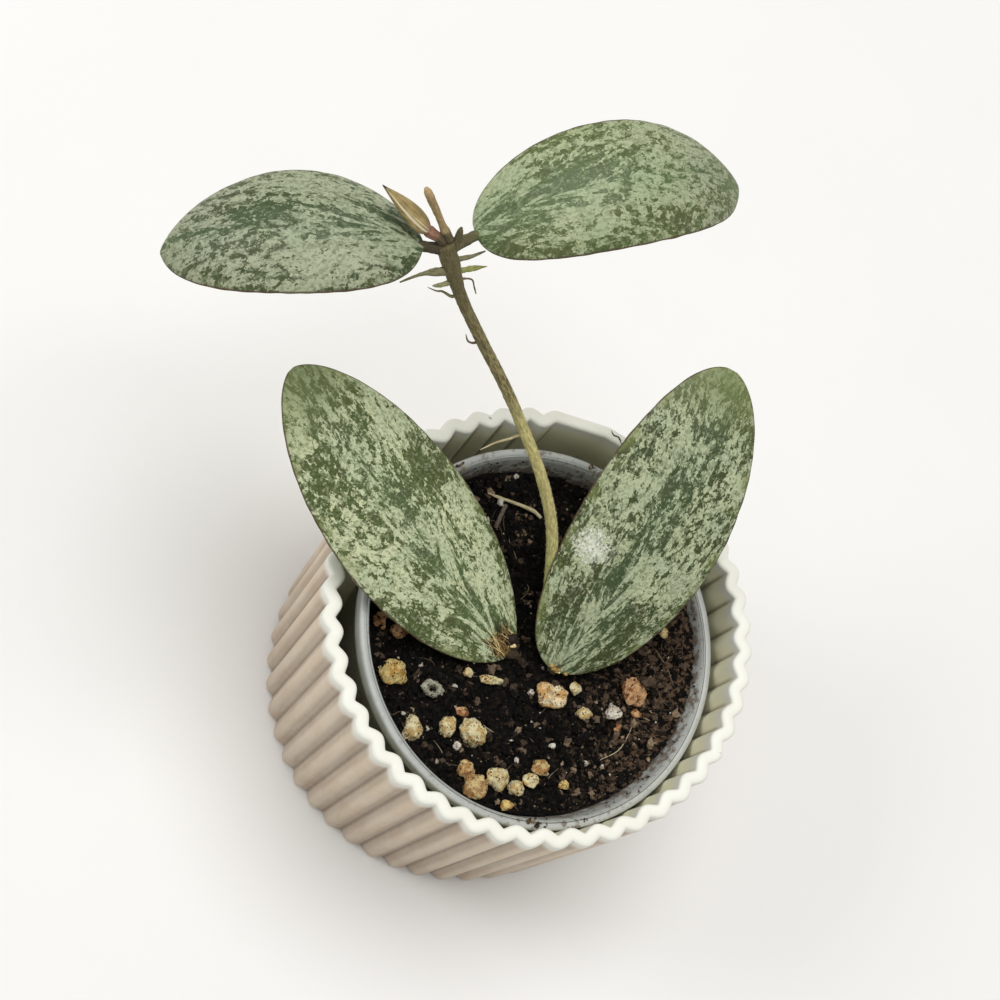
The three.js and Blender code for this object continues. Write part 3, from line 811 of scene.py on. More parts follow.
# grains of pumice and perlite, as they lie in the nursery pot
grains = {
    "rough": 0.24,
    "kinds": {
        "ochre": {"pale": (236, 210, 138), "stain": (198, 152, 72), "pit": (84, 56, 26)},
        "sand": {"pale": (226, 200, 142), "stain": (176, 128, 74), "pit": (84, 54, 30)},
        "cream": {"pale": (238, 226, 180), "stain": (214, 180, 116), "pit": (104, 74, 40)},
        "white": {"pale": (240, 236, 222), "stain": (206, 192, 170), "pit": (84, 70, 58)},
        "tan": {"pale": (220, 174, 126), "stain": (146, 92, 48), "pit": (62, 36, 18)},
        "amber": {"pale": (255, 236, 194), "stain": (220, 172, 104), "pit": (92, 54, 22)},
        "dull": {"pale": (192, 190, 170), "stain": (138, 134, 112), "pit": (42, 36, 28)},
    },
    "soot": (34, 24, 15),
    "finish": {
        "grain_02": "dull",
        "grain_03": "cream",
        "grain_04": "cream",
        "grain_08": "sand",
        "grain_09": "sand",
        "grain_13": "sand",
        "grain_15": "amber",
    },
    "hollow": {"grain_02": 0.85, "grain_15": 0.35, "grain_07": 0.3},  # how deep the middle is eaten out
    "swell": {"grain_09": 1.3, "grain_08": 1.2, "grain_01": 1.05},
    "places": [  # x, y, width, length, kind
        (-25.4, -10.2, 4.7, 4.0, "ochre"), (-17.8, -11.7, 3.6, 2.9, "white"),
        (-20.9, -18.9, 3.4, 4.2, "ochre"), (-14.3, -17.9, 2.9, 3.6, "cream"),
        (-9.5, -18.3, 4.7, 4.4, "cream"), (-11.8, -14.9, 2.5, 1.8, "tan"),
        (-12.2, -20.8, 1.5, 1.3, "white"), (-10.2, -24.8, 2.5, 2.2, "ochre"),
        (-8.1, -27.4, 3.4, 3.2, "ochre"), (-4.6, -25.6, 3.8, 3.8, "cream"),
        (-0.5, -26.8, 2.7, 2.6, "cream"), (2.3, -25.0, 2.3, 2.6, "cream"),
        (4.0, -22.3, 2.8, 2.8, "ochre"), (8.9, -25.0, 1.8, 1.8, "ochre"),
        (5.2, -9.3, 6.0, 4.4, "cream"), (9.6, -7.3, 2.1, 2.1, "cream"),
        (11.6, -11.6, 2.9, 2.2, "cream"), (17.4, -10.4, 2.9, 2.9, "white"),
        (21.0, -6.3, 4.7, 4.7, "tan"), (22.0, -10.0, 2.5, 1.6, "tan"),
        (18.6, -13.1, 1.8, 1.5, "tan"), (27.0, 5.9, 2.2, 2.2, "cream"),
        (29.3, -1.4, 1.8, 1.8, "tan"), (-28.7, -1.1, 2.4, 3.2, "tan"),
        (-25.0, -2.6, 3.4, 2.4, "tan"), (-11.3, -7.5, 1.8, 2.0, "cream"),
        (-7.0, -8.4, 4.2, 1.4, "cream"),
    ],
    "small": [  # x, y
        (1.2, -9.3), (-13.4, -10.3), (12.9, -20.4), (6.2, -18.3), (-17.9, -18.6), (-0.4, -21.7),
        (-15.5, -24.1), (-20.3, -7.8), (-22.6, -16.7), (-5.2, 30.0), (-8.1, 24.3), (-10.0, 20.7),
        (-9.9, 15.8), (-15.6, 13.6),
    ],
    "strewn": 90,
    "seed": 77,
    "halfSunk": (-2.2, -30.1),
    "halfSunkSize": (3.0, 2.2, 1.9),
}


def grainLook(kind, tones, seed):
    look = newLook(kind + " pumice")
    pores = useGroup(poresGroup, {"Size": 0.45, "Depth": 1.15, "Seed": seed})
    colour = mixed(between(mottle(1.5, 5.0, seed + 3), 0.3, 0.85), tones["pale"], tones["stain"])
    colour = mixed(between(pores["Pit"], 0.1, 0.45), colour, tones["pit"])
    # darker on each grain's sunk lower side and in its hollow middle
    low = between(named("sunk"), 0.25, 0.85)
    colour = mixed((low + 0.2) * between(mottle(0.5, 5.0, seed + 9), 0.3, 0.75), colour, grains["soot"])
    finishLook(colour, 0.9, pores["Height"], 0.9, 0.34)
    return look


def addGrain(i, x, y, wide, long, kind):
    name = f"grain_{i + 1:02d}"
    tall = min(wide, long) * 0.86
    detail = 4 if wide + long > 4.4 else 3
    size = (wide * 1.16, long * 1.16, tall * 1.05)  # a lump comes out a little smaller than it is asked for
    shape, sides = lump(detail, size, grains["rough"], i * 1.9 + 0.4, 1.2, cuts=9)
    if abs(wide - long) < 0.5:
        shape = shape @ np.array(Matrix.Rotation(i * 1.3, 3, "Z")).T
    shape = shape * grains["swell"].get(name, 1)
    sunk = 0.5 - shape[:, 2] / tall
    middle = bell(np.hypot(shape[:, 0] / wide, shape[:, 1] / long), 0, 0.21) * (shape[:, 2] > 0)
    hollow = grains["hollow"].get(name, 0) * middle
    shape[:, 2] -= hollow * tall
    values = {"sunk": sunk + hollow * 1.6}
    look = grainLooks[grains["finish"].get(name, kind)]
    points = leaned(shape + (x, y, mix["top"] + tall * 0.14))
    addPiece("pumice" + name[5:], points, sides.tolist(), look, name, values)


def gritParts():
    rng = np.random.default_rng(grains["seed"])
    parts = []

    def drop(x, y, size, detail, seed, lift, toneTo):
        shape, sides = lump(detail, size * rng.uniform(0.7, 1.15, 3), 0.6, seed, 1.3)
        parts.append((leaned(shape + (x, y, mixHeight(x, y) + size * lift)), sides, rng.uniform(0.0, toneTo)))

    for x, y in grains["small"]:
        drop(x, y, rng.uniform(0.9, 1.5), 2, x, 0.2, 0.5)
    for i in range(grains["strewn"]):
        x, y = onDisc(rng, 30)
        drop(x, y, 0.35 + 0.5 * rng.uniform() ** 2, 1, i * 1.1, 0.3, 1.0)
    return joined(parts)


grainLooks = {}
for seed, (kind, tones) in enumerate(grains["kinds"].items()):
    grainLooks[kind] = grainLook(kind, tones, seed * 13.0)
for i, grain in enumerate(grains["places"]):
    addGrain(i, *grain)
points, faces, tones = gritParts()
addPiece("pale_grit", points, faces, grainLooks["white"], None, {"sunk": tones * 0.9})
shape, sides = lump(3, grains["halfSunkSize"], 0.3, 4.4, 1.2, cuts=6)
points = leaned(shape + (*grains["halfSunk"], mixHeight(*grains["halfSunk"]) + 0.5))
values = {"sunk": 0.3 - shape[:, 2] / grains["halfSunkSize"][2]}
addPiece("ochre_grit", points, sides.tolist(), grainLooks["ochre"], None, values)
print("grains made")


# flake of bark
flake = {
    "place": (24.5, -3.9, mix["top"] + 0.25),
    "size": (3.1, 2.2, 1.7),
    "dark": (58, 42, 32),
    "pale": (104, 84, 66),
}
barkLook = newLook("dark rough bark")
colour = mixed(mottle(0.9, 6.0, 14.0), flake["dark"], flake["pale"])
finishLook(colour, 0.85, fineGrain(3.0, 6.0, 0.7), 0.9, 0.4)
shape, sides = lump(3, flake["size"], 0.5, 6.6, 1.2)
addPiece("bark_flake", leaned(shape + flake["place"]), sides.tolist(), barkLook, "bark_chip")


# thin roots and needles strewn over the mix
fibres = {
    "seed": 19,
    "strewn": 46,
    "rightWall": 34,
    "placed": [  # x, y along each fibre
        [(5.2, -25.4), (6.6, -23.4), (7.8, -22.0)],
        [(15.6, -19.5), (19.4, -17.1), (21.2, -14.1), (22.1, -11.2)],
        [(-11.0, -8.1), (-6.2, -8.1)],
        [(-3.4, -27.5), (-1.3, -29.2), (0.4, -30.6)],
        [(25.2, 2.4), (27.5, -0.4), (28.6, -4.0)],
        [(-24.0, 3.0), (-21.5, 0.5), (-20.5, -3.5)],
    ],
    "edge": 30.4,
    "onCoverRim": [(10.6, 37.9, 55.4), (11.1, 37.0, 55.6), (12.0, 36.8, 55.6), (12.7, 35.6, 55.55)],
    "dark": (60, 42, 32),
    "brown": (112, 92, 72),
    "pale": (188, 176, 148),
}


def fibreParts():
    rng = np.random.default_rng(fibres["seed"])
    parts = [thread(fibres["onCoverRim"], 20, [0.06, 0.13, 0.1, 0.13, 0.05], 6, 0.0)]

    def lay(line, thick, tone):
        path = leaned(smoothPath([(x, y, mixHeight(x, y) + 0.3) for x, y in line], 14))
        shape, sides, _ = tube(path, [thick * 0.6, thick, thick * 0.9, thick * 0.35], 5)
        parts.append((shape, sides, tone))

    for line in fibres["placed"]:
        lay(line, 0.11, rng.uniform(0.55, 0.95))
    for i in range(fibres["strewn"] + fibres["rightWall"]):
        onRight = i >= fibres["strewn"]
        heading = math.radians(rng.normal(8, 34)) if onRight else rng.uniform(0, fullTurn)
        reach = rng.uniform(25.5, 29.6) if onRight else 28 * math.sqrt(rng.uniform())
        x, y = polar(reach, heading)
        way = rng.uniform(0, fullTurn)
        line = [(x, y)]
        for _ in range(3):
            way += rng.normal(scale=0.5)
            ahead, aside = polar(rng.uniform(0.8, 2.4), way)
            x, y = x + ahead, y + aside
            keep = min(1, fibres["edge"] / math.hypot(x, y))
            x, y = x * keep, y * keep
            line.append((x, y))
        lay(line, rng.uniform(0.05, 0.1), rng.uniform(0.0, 0.45) if onRight else rng.uniform(0.1, 1.0))
    return joined(parts)


fibreLook = newLook("thin root fibres")
tone = named("tone")
colour = mixed(between(tone, 0.0, 0.6), fibres["dark"], fibres["brown"])
colour = mixed(between(tone, 0.6, 1.0), colour, fibres["pale"])
finishLook(colour, 0.75, fineGrain(6.0, 3.0), 0.4, 0.1)
points, faces, tones = fibreParts()
addPiece("mix_fibres", points, faces, fibreLook, None, {"tone": tones})
print("fibres made")


# leaves; a patch is share along, share across, size, and how far it leans to green, or to silver below nought
leaves = {
    "upper_left": {
        "base": (-40.7, 40.3, 108.5), "yaw": 183.4, "pitch": 22.8, "roll": 8.5,
        "length": 42.5, "width": 22.0, "baseFull": 0.49, "tipFull": 0.55,
        "bend": 72.3, "sweep": 0.07, "cup": 0.24, "thick": 1.7,
        "seed": 3.0, "cover": 0.48, "drawn": 1.1, "close": 1.3, "tipGreen": 0.15, "tipGrey": 0.35,
        "silver": (151, 160, 133), "silverWarm": (166, 170, 142),
        "green": (79, 90, 54), "greenDeep": (52, 65, 35),
        "patches": [
            (0.15, -0.7, 4.0, 0.06), (0.35, -0.2, 4.0, 0.05), (0.62, -0.15, 5.0, 0.05),
            (0.88, 0.0, 5.0, 0.04), (0.4, -0.8, 5.5, -0.08), (0.42, 0.65, 6.0, -0.08),
        ],
    },
    "upper_right": {
        "base": (-33.0, 44.0, 109.1), "yaw": 19.7, "pitch": 36.7, "roll": 5.4,
        "length": 53.1, "width": 20.9, "baseFull": 0.43, "tipFull": 0.49,
        "bend": 79.7, "sweep": -0.13, "cup": 0.21, "thick": 1.7,
        "seed": 14.0, "cover": 0.5, "drawn": 0.8, "close": 1.4, "tipGreen": 0.2, "tipGrey": 0.6,
        "silver": (156, 168, 134), "silverWarm": (169, 176, 138),
        "green": (96, 109, 63), "greenDeep": (69, 83, 45),
        "patches": [
            (0.2, -0.65, 5.0, 0.06), (0.3, 0.4, 6.0, 0.05), (0.42, -0.9, 4.0, 0.06),
            (0.6, 0.4, 6.0, -0.05), (0.5, -0.4, 4.0, -0.06), (0.1, 0.85, 4.0, -0.05),
        ],
    },
    "lower_left": {
        "base": (-3.2, -4.7, 46.7), "yaw": 147.2, "pitch": 33.1, "roll": -5.4,
        "length": 68.5, "width": 27.2, "baseFull": 0.59, "tipFull": 0.61,
        "bend": 10.7, "sweep": -0.03, "cup": 0.12, "thick": 1.9,
        "seed": 26.0, "cover": 0.5, "drawn": 1.45, "close": 1.0, "tipGreen": 0.6, "tipGrey": 0.0,
        "silver": (185, 196, 162), "silverWarm": (211, 213, 172),
        "green": (98, 111, 64), "greenDeep": (66, 79, 41),
        "scarred": True,
        "patches": [
            (0.57, -0.5, 6.0, 0.07), (0.58, -0.1, 4.0, 0.05), (0.3, 0.8, 5.0, 0.08), (0.74, 0.75, 5.0, 0.05),
            (0.24, -0.65, 5.0, -0.07), (0.74, -0.7, 6.5, -0.08), (0.47, 0.62, 7.0, -0.07),
        ],
    },
    "lower_right": {
        "base": (5.3, -6.4, 46.7), "yaw": 67.7, "pitch": 45.6, "roll": 8.9,
        "length": 62.9, "width": 27.1, "baseFull": 0.5, "tipFull": 0.53,
        "bend": 24.3, "sweep": 0.08, "cup": 0.05, "thick": 1.9,
        "seed": 39.0, "cover": 0.5, "drawn": 1.45, "close": 1.0, "tipGreen": 0.7, "tipGrey": 0.0,
        "silver": (168, 179, 148), "silverWarm": (190, 195, 157),
        "green": (80, 92, 51), "greenDeep": (49, 61, 31),
        "glare": (0.385, 0.62, 0.055),  # share along, share across, size
        "patches": [
            (0.82, -0.25, 6.5, 0.06), (0.46, 0.12, 5.0, 0.05), (0.14, -0.6, 4.0, 0.05), (0.2, 0.5, 5.0, 0.05),
            (0.36, -0.7, 6.0, -0.07), (0.36, -0.2, 4.0, -0.04),
            (0.56, 0.62, 6.0, -0.06), (0.68, -0.6, 5.0, -0.05),
        ],
    },
}
leafTones = {
    "greyTip": (160, 156, 140),
    "brownish": (82, 78, 52),
    "midrib": (98, 136, 112),
    "yellowed": (118, 130, 72),
    "edgeLine": (84, 62, 46),
    "scar": (46, 30, 21),
    "glare": (232, 234, 222),
    "under": (138, 152, 112),
    "underDark": (118, 134, 92),
}
bladeRows = 150
bladeAround = 96


def outline(leaf, u):
    widest = leaf["baseFull"] / (leaf["baseFull"] + leaf["tipFull"])
    most = widest ** leaf["baseFull"] * (1 - widest) ** leaf["tipFull"]
    return u ** leaf["baseFull"] * (1 - u) ** leaf["tipFull"] / most


def halfThick(leaf, u):
    return leaf["thick"] / 2 * np.sqrt(outline(leaf, u))


def leafAxes(leaf):
    yaw, pitch, roll = (math.radians(leaf[k]) for k in ("yaw", "pitch", "roll"))
    ahead = np.array([math.cos(yaw) * math.cos(pitch), math.sin(yaw) * math.cos(pitch), math.sin(pitch)])
    level = np.array([-math.sin(yaw), math.cos(yaw), 0])
    side = level * math.cos(roll) + np.cross(ahead, level) * math.sin(roll)
    return ahead, side, np.cross(ahead, side)


def leafPoints(leaf, u, v, lift):
    # on the blade: u along the midrib, v from margin to margin, lift off its middle
    u, v, lift = (np.asarray(value, float) for value in (u, v, lift))
    bend = math.radians(leaf["bend"]) + 1e-9
    half = leaf["width"] / 2 * outline(leaf, u)
    rise = lift - leaf["cup"] * half * v * v
    along = leaf["length"] * np.sin(bend * u) / bend + np.sin(bend * u) * rise
    over = -leaf["length"] * (1 - np.cos(bend * u)) / bend + np.cos(bend * u) * rise
    across = leaf["sweep"] * leaf["length"] * (u * u - u) + half * v
    ahead, side, upward = leafAxes(leaf)
    points = np.array(leaf["base"]) + along[..., None] * ahead
    return points + across[..., None] * side + over[..., None] * upward


def bladeMesh(leaf, rows, around, rib=0.3, waves=0.3):
    u = 0.002 + 0.996 * 0.5 * (1 - np.cos(np.linspace(0, math.pi, rows)))
    u, angle = np.meshgrid(u, turnsOf(around), indexing="ij")
    v, topSide = np.cos(angle), np.sin(angle)
    half = leaf["width"] / 2 * outline(leaf, u)
    lift = halfThick(leaf, u) * topSide
    groove = bell(v * half, 0, 0.9) * np.clip(1.15 - u, 0, 1) * smoothStep(half, 0.5, 3.0)
    lift -= groove * np.where(topSide > 0, rib, rib * 1.3)

    def bumps(alongScale, across, third):  # soft noise over the blade
        along = u * leaf["length"] * alongScale + leaf["seed"] * 7
        spots = np.stack([along, across, np.full(u.shape, third)], -1).reshape(-1, 3)
        return np.array([noise.noise(Vector(spot)) for spot in spots]).reshape(u.shape)

    lift += waves * bumps(0.07, v * half * 0.12, 0.4) * smoothStep(half, 1, 7)
    v = v * (1 + 0.014 * bumps(0.35, np.copysign(4, v), 0) * np.abs(v) ** 4)
    points = leafPoints(leaf, u, v, lift).reshape(-1, 3)
    blade = np.stack([u * leaf["length"], v * half, u], -1).reshape(-1, 3)
    margin = np.stack([(1 - np.abs(v)) * half, topSide, v], -1).reshape(-1, 3)
    lean = np.zeros(u.shape)
    for patchU, patchV, size, strength in leaf.get("patches", ()):
        away = ((u - patchU) * leaf["length"]) ** 2 * 0.5 + ((v - patchV) * half) ** 2
        lean += strength * np.exp(-away / (size * size * 0.5))
    return points, ringFaces(rows, around), {"blade": blade, "margin": margin, "lean": lean.ravel()}


def toned(tone, times):  # a paint chip made lighter, or darker below one
    return [min(255, c * times) for c in tone]


def leafLook(name, leaf):
    look = newLook(name + " blade")
    blade = named("blade", "Vector")
    margin = split(named("margin", "Vector"))  # mm from the margin, top or under, share across
    share = split(blade)[2]
    aside = abs(split(blade)[1])
    wires = {"Blade": blade, "Lean": named("lean"), "Cover": leaf["cover"], "Seed": leaf["seed"]}
    splash = useGroup(splashGroup, {**wires, "Drawn": leaf["drawn"], "Close": leaf["close"]})
    wide = mottle(7.0, 4.0, leaf["seed"])
    fine = mottle(0.45, 6.0, leaf["seed"] + 5)

    silver = mixed(wide * 0.9, leaf["silver"], leaf["silverWarm"])
    silver = mixed(between(share, 0.45, 0.9, 0.0, leaf["tipGrey"]), silver, leafTones["greyTip"])
    silver = mixed(fine * 0.5, silver, toned(leaf["silver"], 1.2))
    silver = mixed(splash["Fleck"] * 0.44, silver, leaf["green"])
    silver = mixed(between(splash["Cell"], 0.5, 0.95, 0.0, 0.48), silver, leaf["green"])
    green = mixed(splash["Deep"], leaf["green"], leaf["greenDeep"])
    green = mixed(fine * 0.4, green, toned(leaf["green"], 1.25))
    green = mixed(between(splash["Cell"], 0.6, 1.0, 0.0, 0.42), green, leaf["silver"])
    browned = between(mottle(4.0, 4.0, leaf["seed"] + 30), 0.5, 0.9, 0.0, 0.35)
    green = mixed(browned, green, leafTones["brownish"])

    colour = mixed(splash["Green"], silver, green)
    colour = mixed(between(aside, 0.5, 6.0, 0.1, 0.0), colour, leafTones["midrib"])
    nearEdge = between(margin[0], 0.2, 2.6, 1.0, 0.0)
    yellow = worked("MAXIMUM", nearEdge * between(wide, 0.35, 0.8), between(share, 0.78, 0.99))
    colour = mixed(yellow * leaf["tipGreen"], colour, leafTones["yellowed"])
    colour = mixed(between(margin[0], 0.1, 0.32, 0.85, 0.0), colour, leafTones["edgeLine"])
    if "scarred" in leaf:  # dark round the dried foot
        ragged = between(fine, 0.0, 1.0, -0.03, 0.03)
        fromFoot = between(share + ragged, 0.035, 0.1, 1.0, 0.0)
        middle = between(aside + ragged * 40.0, 1.2, 3.0, 1.0, 0.0)
        colour = mixed(fromFoot * middle, colour, leafTones["scar"])
    if "glare" in leaf:  # a painted glare highlight, sparkling
        glareU, glareV, glareSize = leaf["glare"]
        away = madeOf(share - glareU, (margin[2] - glareV) * 0.2, 0.0)
        away = place("VectorMath", {0: away}, operation="LENGTH")["Value"]
        away = away + between(fine, 0.1, 0.9, -0.02, 0.02)
        sparkle = between(splash["Cell"], 0.2, 0.8, 0.3, 1.0)
        sparkle = sparkle * between(away, glareSize * 0.4, glareSize, 1.0, 0.0)
        colour = mixed(sparkle, colour, leafTones["glare"])
    plainGreen = mixed(wide, leafTones["under"], leafTones["underDark"])
    colour = mixed(between(margin[1], -0.12, 0.02, 1.0, 0.0), colour, plainGreen)

    height = fineGrain(2.4, 5.0, 0.6) + splash["Vein"] * 0.9 + splash["Green"] * -0.25
    finishLook(colour, between(splash["Green"], 0.0, 1.0, 0.54, 0.47), height, 0.25, 0.2, shine=0.36)
    return look


for name, leaf in leaves.items():
    points, faces, values = bladeMesh(leaf, bladeRows, bladeAround)
    addPiece(name + "_blade", points, faces, leafLook(name, leaf), "leaf_" + name, values)
print("leaf blades made")


# stem
stem = {
    "path": [
        (5.0, -2.0, 34.0), (4.4, -0.9, 41.0), (3.2, 1.4, 46.2), (0.7, 8.0, 54.9), (-2.5, 14.2, 63.8),
        (-7.6, 19.6, 72.4), (-13.6, 24.5, 79.9), (-19.7, 28.9, 87.0), (-26.1, 32.9, 93.9),
        (-32.0, 36.7, 100.7), (-37.3, 41.1, 108.6),
    ],
    "radii": [
        1.15, 1.15, 1.12, 1.1, 1.08, 1.05, 1.03, 1.02, 1.0, 1.0, 0.98, 0.98,
        0.97, 0.97, 0.96, 0.96, 0.96, 0.97, 0.97, 0.98, 1.02, 1.45, 1.5,
    ],
    "around": 40,
    "steps": 300,
    "hairs": 5600,
    "hairThick": 0.036,
    "hairCorners": (0, 2.094, 4.189),  # where the three corners of a hair's foot lie round it
    "seed": 23,
    "wart": (178, 164, 122),
    "hair": (176, 164, 122),
    "hairPale": (206, 198, 164),
    "hairHigh": (140, 126, 92),
    "pale": [(222, 238, 146), (230, 222, 150), (168, 156, 104), (106, 98, 64)],  # from the foot up
    "dark": [(198, 202, 120), (184, 170, 112), (90, 81, 51)],
}
stemWalk = smoothPath(stem["path"], stem["steps"])
stemAhead, stemSide, stemOther = sideways(stemWalk)


def alongPart(low, high, toLow=0.0, toHigh=1.0):  # a soft step over the share of the way along a tube
    return between(named("along"), low, high, toLow, toHigh)


def barkColour(fineness, pale, dark):  # streaked bark with warts, and its height
    bark = useGroup(grainGroup, {"Run": named("run", "Vector"), "Fineness": fineness})
    colour = mixed(bark["Wart"] * 0.3, mixed(bark["Streak"], dark, pale), stem["wart"])
    return colour, bark["Streak"] + bark["Wart"]


def addTube(name, path, radii, around, bumpy, seed, look, node):
    points, faces, values = tube(path, radii, around, bumpy, seed)
    addPiece(name, points, faces, look, node, values)


def hairParts():
    rng = np.random.default_rng(stem["seed"])
    parts = []
    for _ in range(stem["hairs"]):
        share = 0.1 + 0.86 * rng.uniform() ** 1.35
        i = int(share * (stem["steps"] - 1))
        angle = rng.uniform(0, fullTurn)
        out = math.cos(angle) * stemSide[i] + math.sin(angle) * stemOther[i]
        radius = np.interp(share, np.linspace(0, 1, len(stem["radii"])), stem["radii"])
        lean = out + rng.normal(scale=0.35, size=3)
        lean /= np.linalg.norm(lean)
        long = rng.uniform(0.12, 0.4) * float(np.interp(share, [0, 0.4, 0.65, 1], [0.9, 1.0, 0.55, 0.3]))
        foot = stemWalk[i] + out * radius * 0.95
        cross = np.cross(lean, stemAhead[i])
        cross /= np.linalg.norm(cross)
        other = np.cross(lean, cross)
        ring = [math.cos(a) * cross + math.sin(a) * other for a in stem["hairCorners"]]
        ring = [foot + spoke * stem["hairThick"] for spoke in ring]
        hair = np.array([*ring, foot + lean * long])
        parts.append((hair, [(0, 1, 3), (1, 2, 3), (2, 0, 3), (0, 2, 1)], share))
    return joined(parts)


stemLook = newLook("hairy olive stem")
pale = mixed(alongPart(0.12, 0.42), *stem["pale"][:2])
pale = mixed(alongPart(0.57, 0.7), pale, stem["pale"][2])
pale = mixed(alongPart(0.72, 0.95), pale, stem["pale"][3])
dark = mixed(alongPart(0.12, 0.42), *stem["dark"][:2])
dark = mixed(alongPart(0.55, 0.7), dark, stem["dark"][2])
colour, height = barkColour(1.0, pale, dark)
finishLook(colour, 0.78, height, 0.6, 0.16)
addTube("woody_stem", stemWalk, stem["radii"], stem["around"], 0.09, 2.0, stemLook, "main_stem")

fuzzLook = newLook("pale stem fuzz")
tone = mixed(mottle(0.6, 3.0, 2.0), stem["hair"], stem["hairPale"])
finishLook(mixed(between(named("tone"), 0.45, 0.9), tone, stem["hairHigh"]), 0.7)
points, faces, tones = hairParts()
addPiece("stem_fuzz", points, faces, fuzzLook, None, {"tone": tones})
print("stem made")


# stalks of the leaves; "at" is the share of the way up the stem
stalks = {
    "upper_left": {
        "at": 0.992, "radii": [1.1, 1.0, 0.9, 0.86, 0.88, 0.4],
        "tint": (58, 48, 36), "amount": 0.6,
    },
    "upper_right": {
        "at": 0.992, "radii": [1.25, 1.04, 0.9, 0.84, 0.86, 0.4],
        "tint": (116, 116, 76), "amount": 0.3,
    },
    "lower_left": {
        "at": 0.075, "radii": [1.2, 1.2, 1.1, 1.0, 0.95, 0.5],
        "tint": (62, 44, 32), "amount": 0.85,
    },
    "lower_right": {
        "at": 0.03, "radii": [1.2, 1.2, 1.1, 1.0, 0.95, 0.5],
        "tint": (74, 62, 40), "amount": 0.7,
    },
}
stalkTones = {  # at the foot and towards the blade
    "pale": [(100, 88, 58), (112, 122, 72)],
    "dark": [(58, 48, 34), (78, 86, 50)],
}


def offStem(share, towards, out=0.5):
    # a point in the stem's skin on the side that faces there, and that direction
    i = int(share * (stem["steps"] - 1))
    away = np.asarray(towards, float) - stemWalk[i]
    away -= stemAhead[i] * np.dot(away, stemAhead[i])
    away /= np.linalg.norm(away)
    return stemWalk[i] + away * out, away


for name, stalk in stalks.items():
    leaf = leaves[name]
    look = newLook(name + " stalk")
    pale = mixed(alongPart(0.35, 1.0), *stalkTones["pale"])
    dark = mixed(alongPart(0.3, 1.0), *stalkTones["dark"])
    colour, height = barkColour(1.2, pale, dark)
    finishLook(mixed(stalk["amount"], colour, stalk["tint"]), 0.72, height, 0.6, 0.18)
    low = -0.3 if name == "upper_right" else 0.0
    foot, inside = leafPoints(leaf, 0.006, low, -0.5), leafPoints(leaf, 0.05, low, -1.0)
    start, out = offStem(stalk["at"], foot)
    ends = [start, start + out * 1.2]
    if name.startswith("upper"):
        ends = [start - out * 0.4, start * 0.35 + foot * 0.65]
    path = smoothPath([*ends, foot, inside], 40)
    addTube(name + "_stalk", path, stalk["radii"], 28, 0.12, leaf["seed"], look, "leaf_" + name)
print("stalks made")


# folded young leaf
youngLeaf = {
    "base": (-40.6, 41.8, 110.4), "yaw": 163.5, "pitch": 36.5, "roll": 0.0,
    "length": 11.4, "width": 3.5, "baseFull": 0.46, "tipFull": 1.2,
    "bend": 6.0, "sweep": 0.0, "cup": 0.0, "thick": 2.0, "seed": 51.0,
    "ochre": (176, 154, 104),
    "olive": (122, 110, 70),
    "gold": (192, 166, 106),
    "rose": (150, 110, 92),
    "cream": (232, 222, 188),
    "darkTip": (58, 44, 46),
    "stalkRadii": [0.95, 0.85, 0.78, 0.85, 1.0, 0.85, 0.5],
    "stalkPale": [(92, 80, 56), (168, 124, 104)],
    "stalkDark": [(56, 46, 34), (128, 84, 68)],
}


def creamLine(colour, margin, share, ends, wide, fade):
    # a pale line along the blade, from one share across at its foot to another
    off = abs(margin[2] - between(share, 0.0, *ends))
    return mixed(between(off, *wide, 1.0, 0.0) * between(share, *fade, 0.0), colour, youngLeaf["cream"])


youngLook = newLook("ochre young leaf")
blade = split(named("blade", "Vector"))
margin = split(named("margin", "Vector"))
lengthwise = cloud(madeOf(blade[0] * 0.5, blade[1] * 3.0, 1.0), 1.0, 4.0, 0.6)
colour = mixed(between(lengthwise, 0.35, 0.65), youngLeaf["ochre"], youngLeaf["olive"])
colour = mixed(mottle(1.4, 5.0, 5.0) * 0.4, colour, youngLeaf["gold"])
colour = mixed(between(blade[2], 0.0, 0.22, 0.8, 0.0), colour, youngLeaf["rose"])
colour = creamLine(colour, margin, blade[2], (1.0, 0.66, 0.84), (0.05, 0.12), (0.9, 0.97, 0.85))
colour = creamLine(colour, margin, blade[2], (0.7, 0.34, 0.6), (0.03, 0.08), (0.25, 0.6, 0.6))
colour = mixed(between(blade[2], 0.91, 0.96), colour, youngLeaf["darkTip"])
finishLook(colour, 0.55, lengthwise, 0.5, 0.15)
points, faces, values = bladeMesh(youngLeaf, 70, 48, rib=-0.12, waves=0.05)
addPiece("folded_young_leaf", points, faces, youngLook, "young_leaf", values)

look = newLook("rosy young stalk")
pale = mixed(alongPart(0.35, 0.55), *youngLeaf["stalkPale"])
dark = mixed(alongPart(0.35, 0.55), *youngLeaf["stalkDark"])
colour, height = barkColour(1.4, pale, dark)
finishLook(colour, 0.7, height, 0.5, 0.12)
path = [stemWalk[-1] + (-0.2, 0.0, -0.6), stemWalk[-1] + (-1.1, 0.2, 0.8)]
path = smoothPath([*path, leafPoints(youngLeaf, 0.01, 0, 0), leafPoints(youngLeaf, 0.14, 0, 0)], 40)
addTube("young_leaf_stalk", path, youngLeaf["stalkRadii"], 26, 0.1, 9.0, look, "young_leaf")


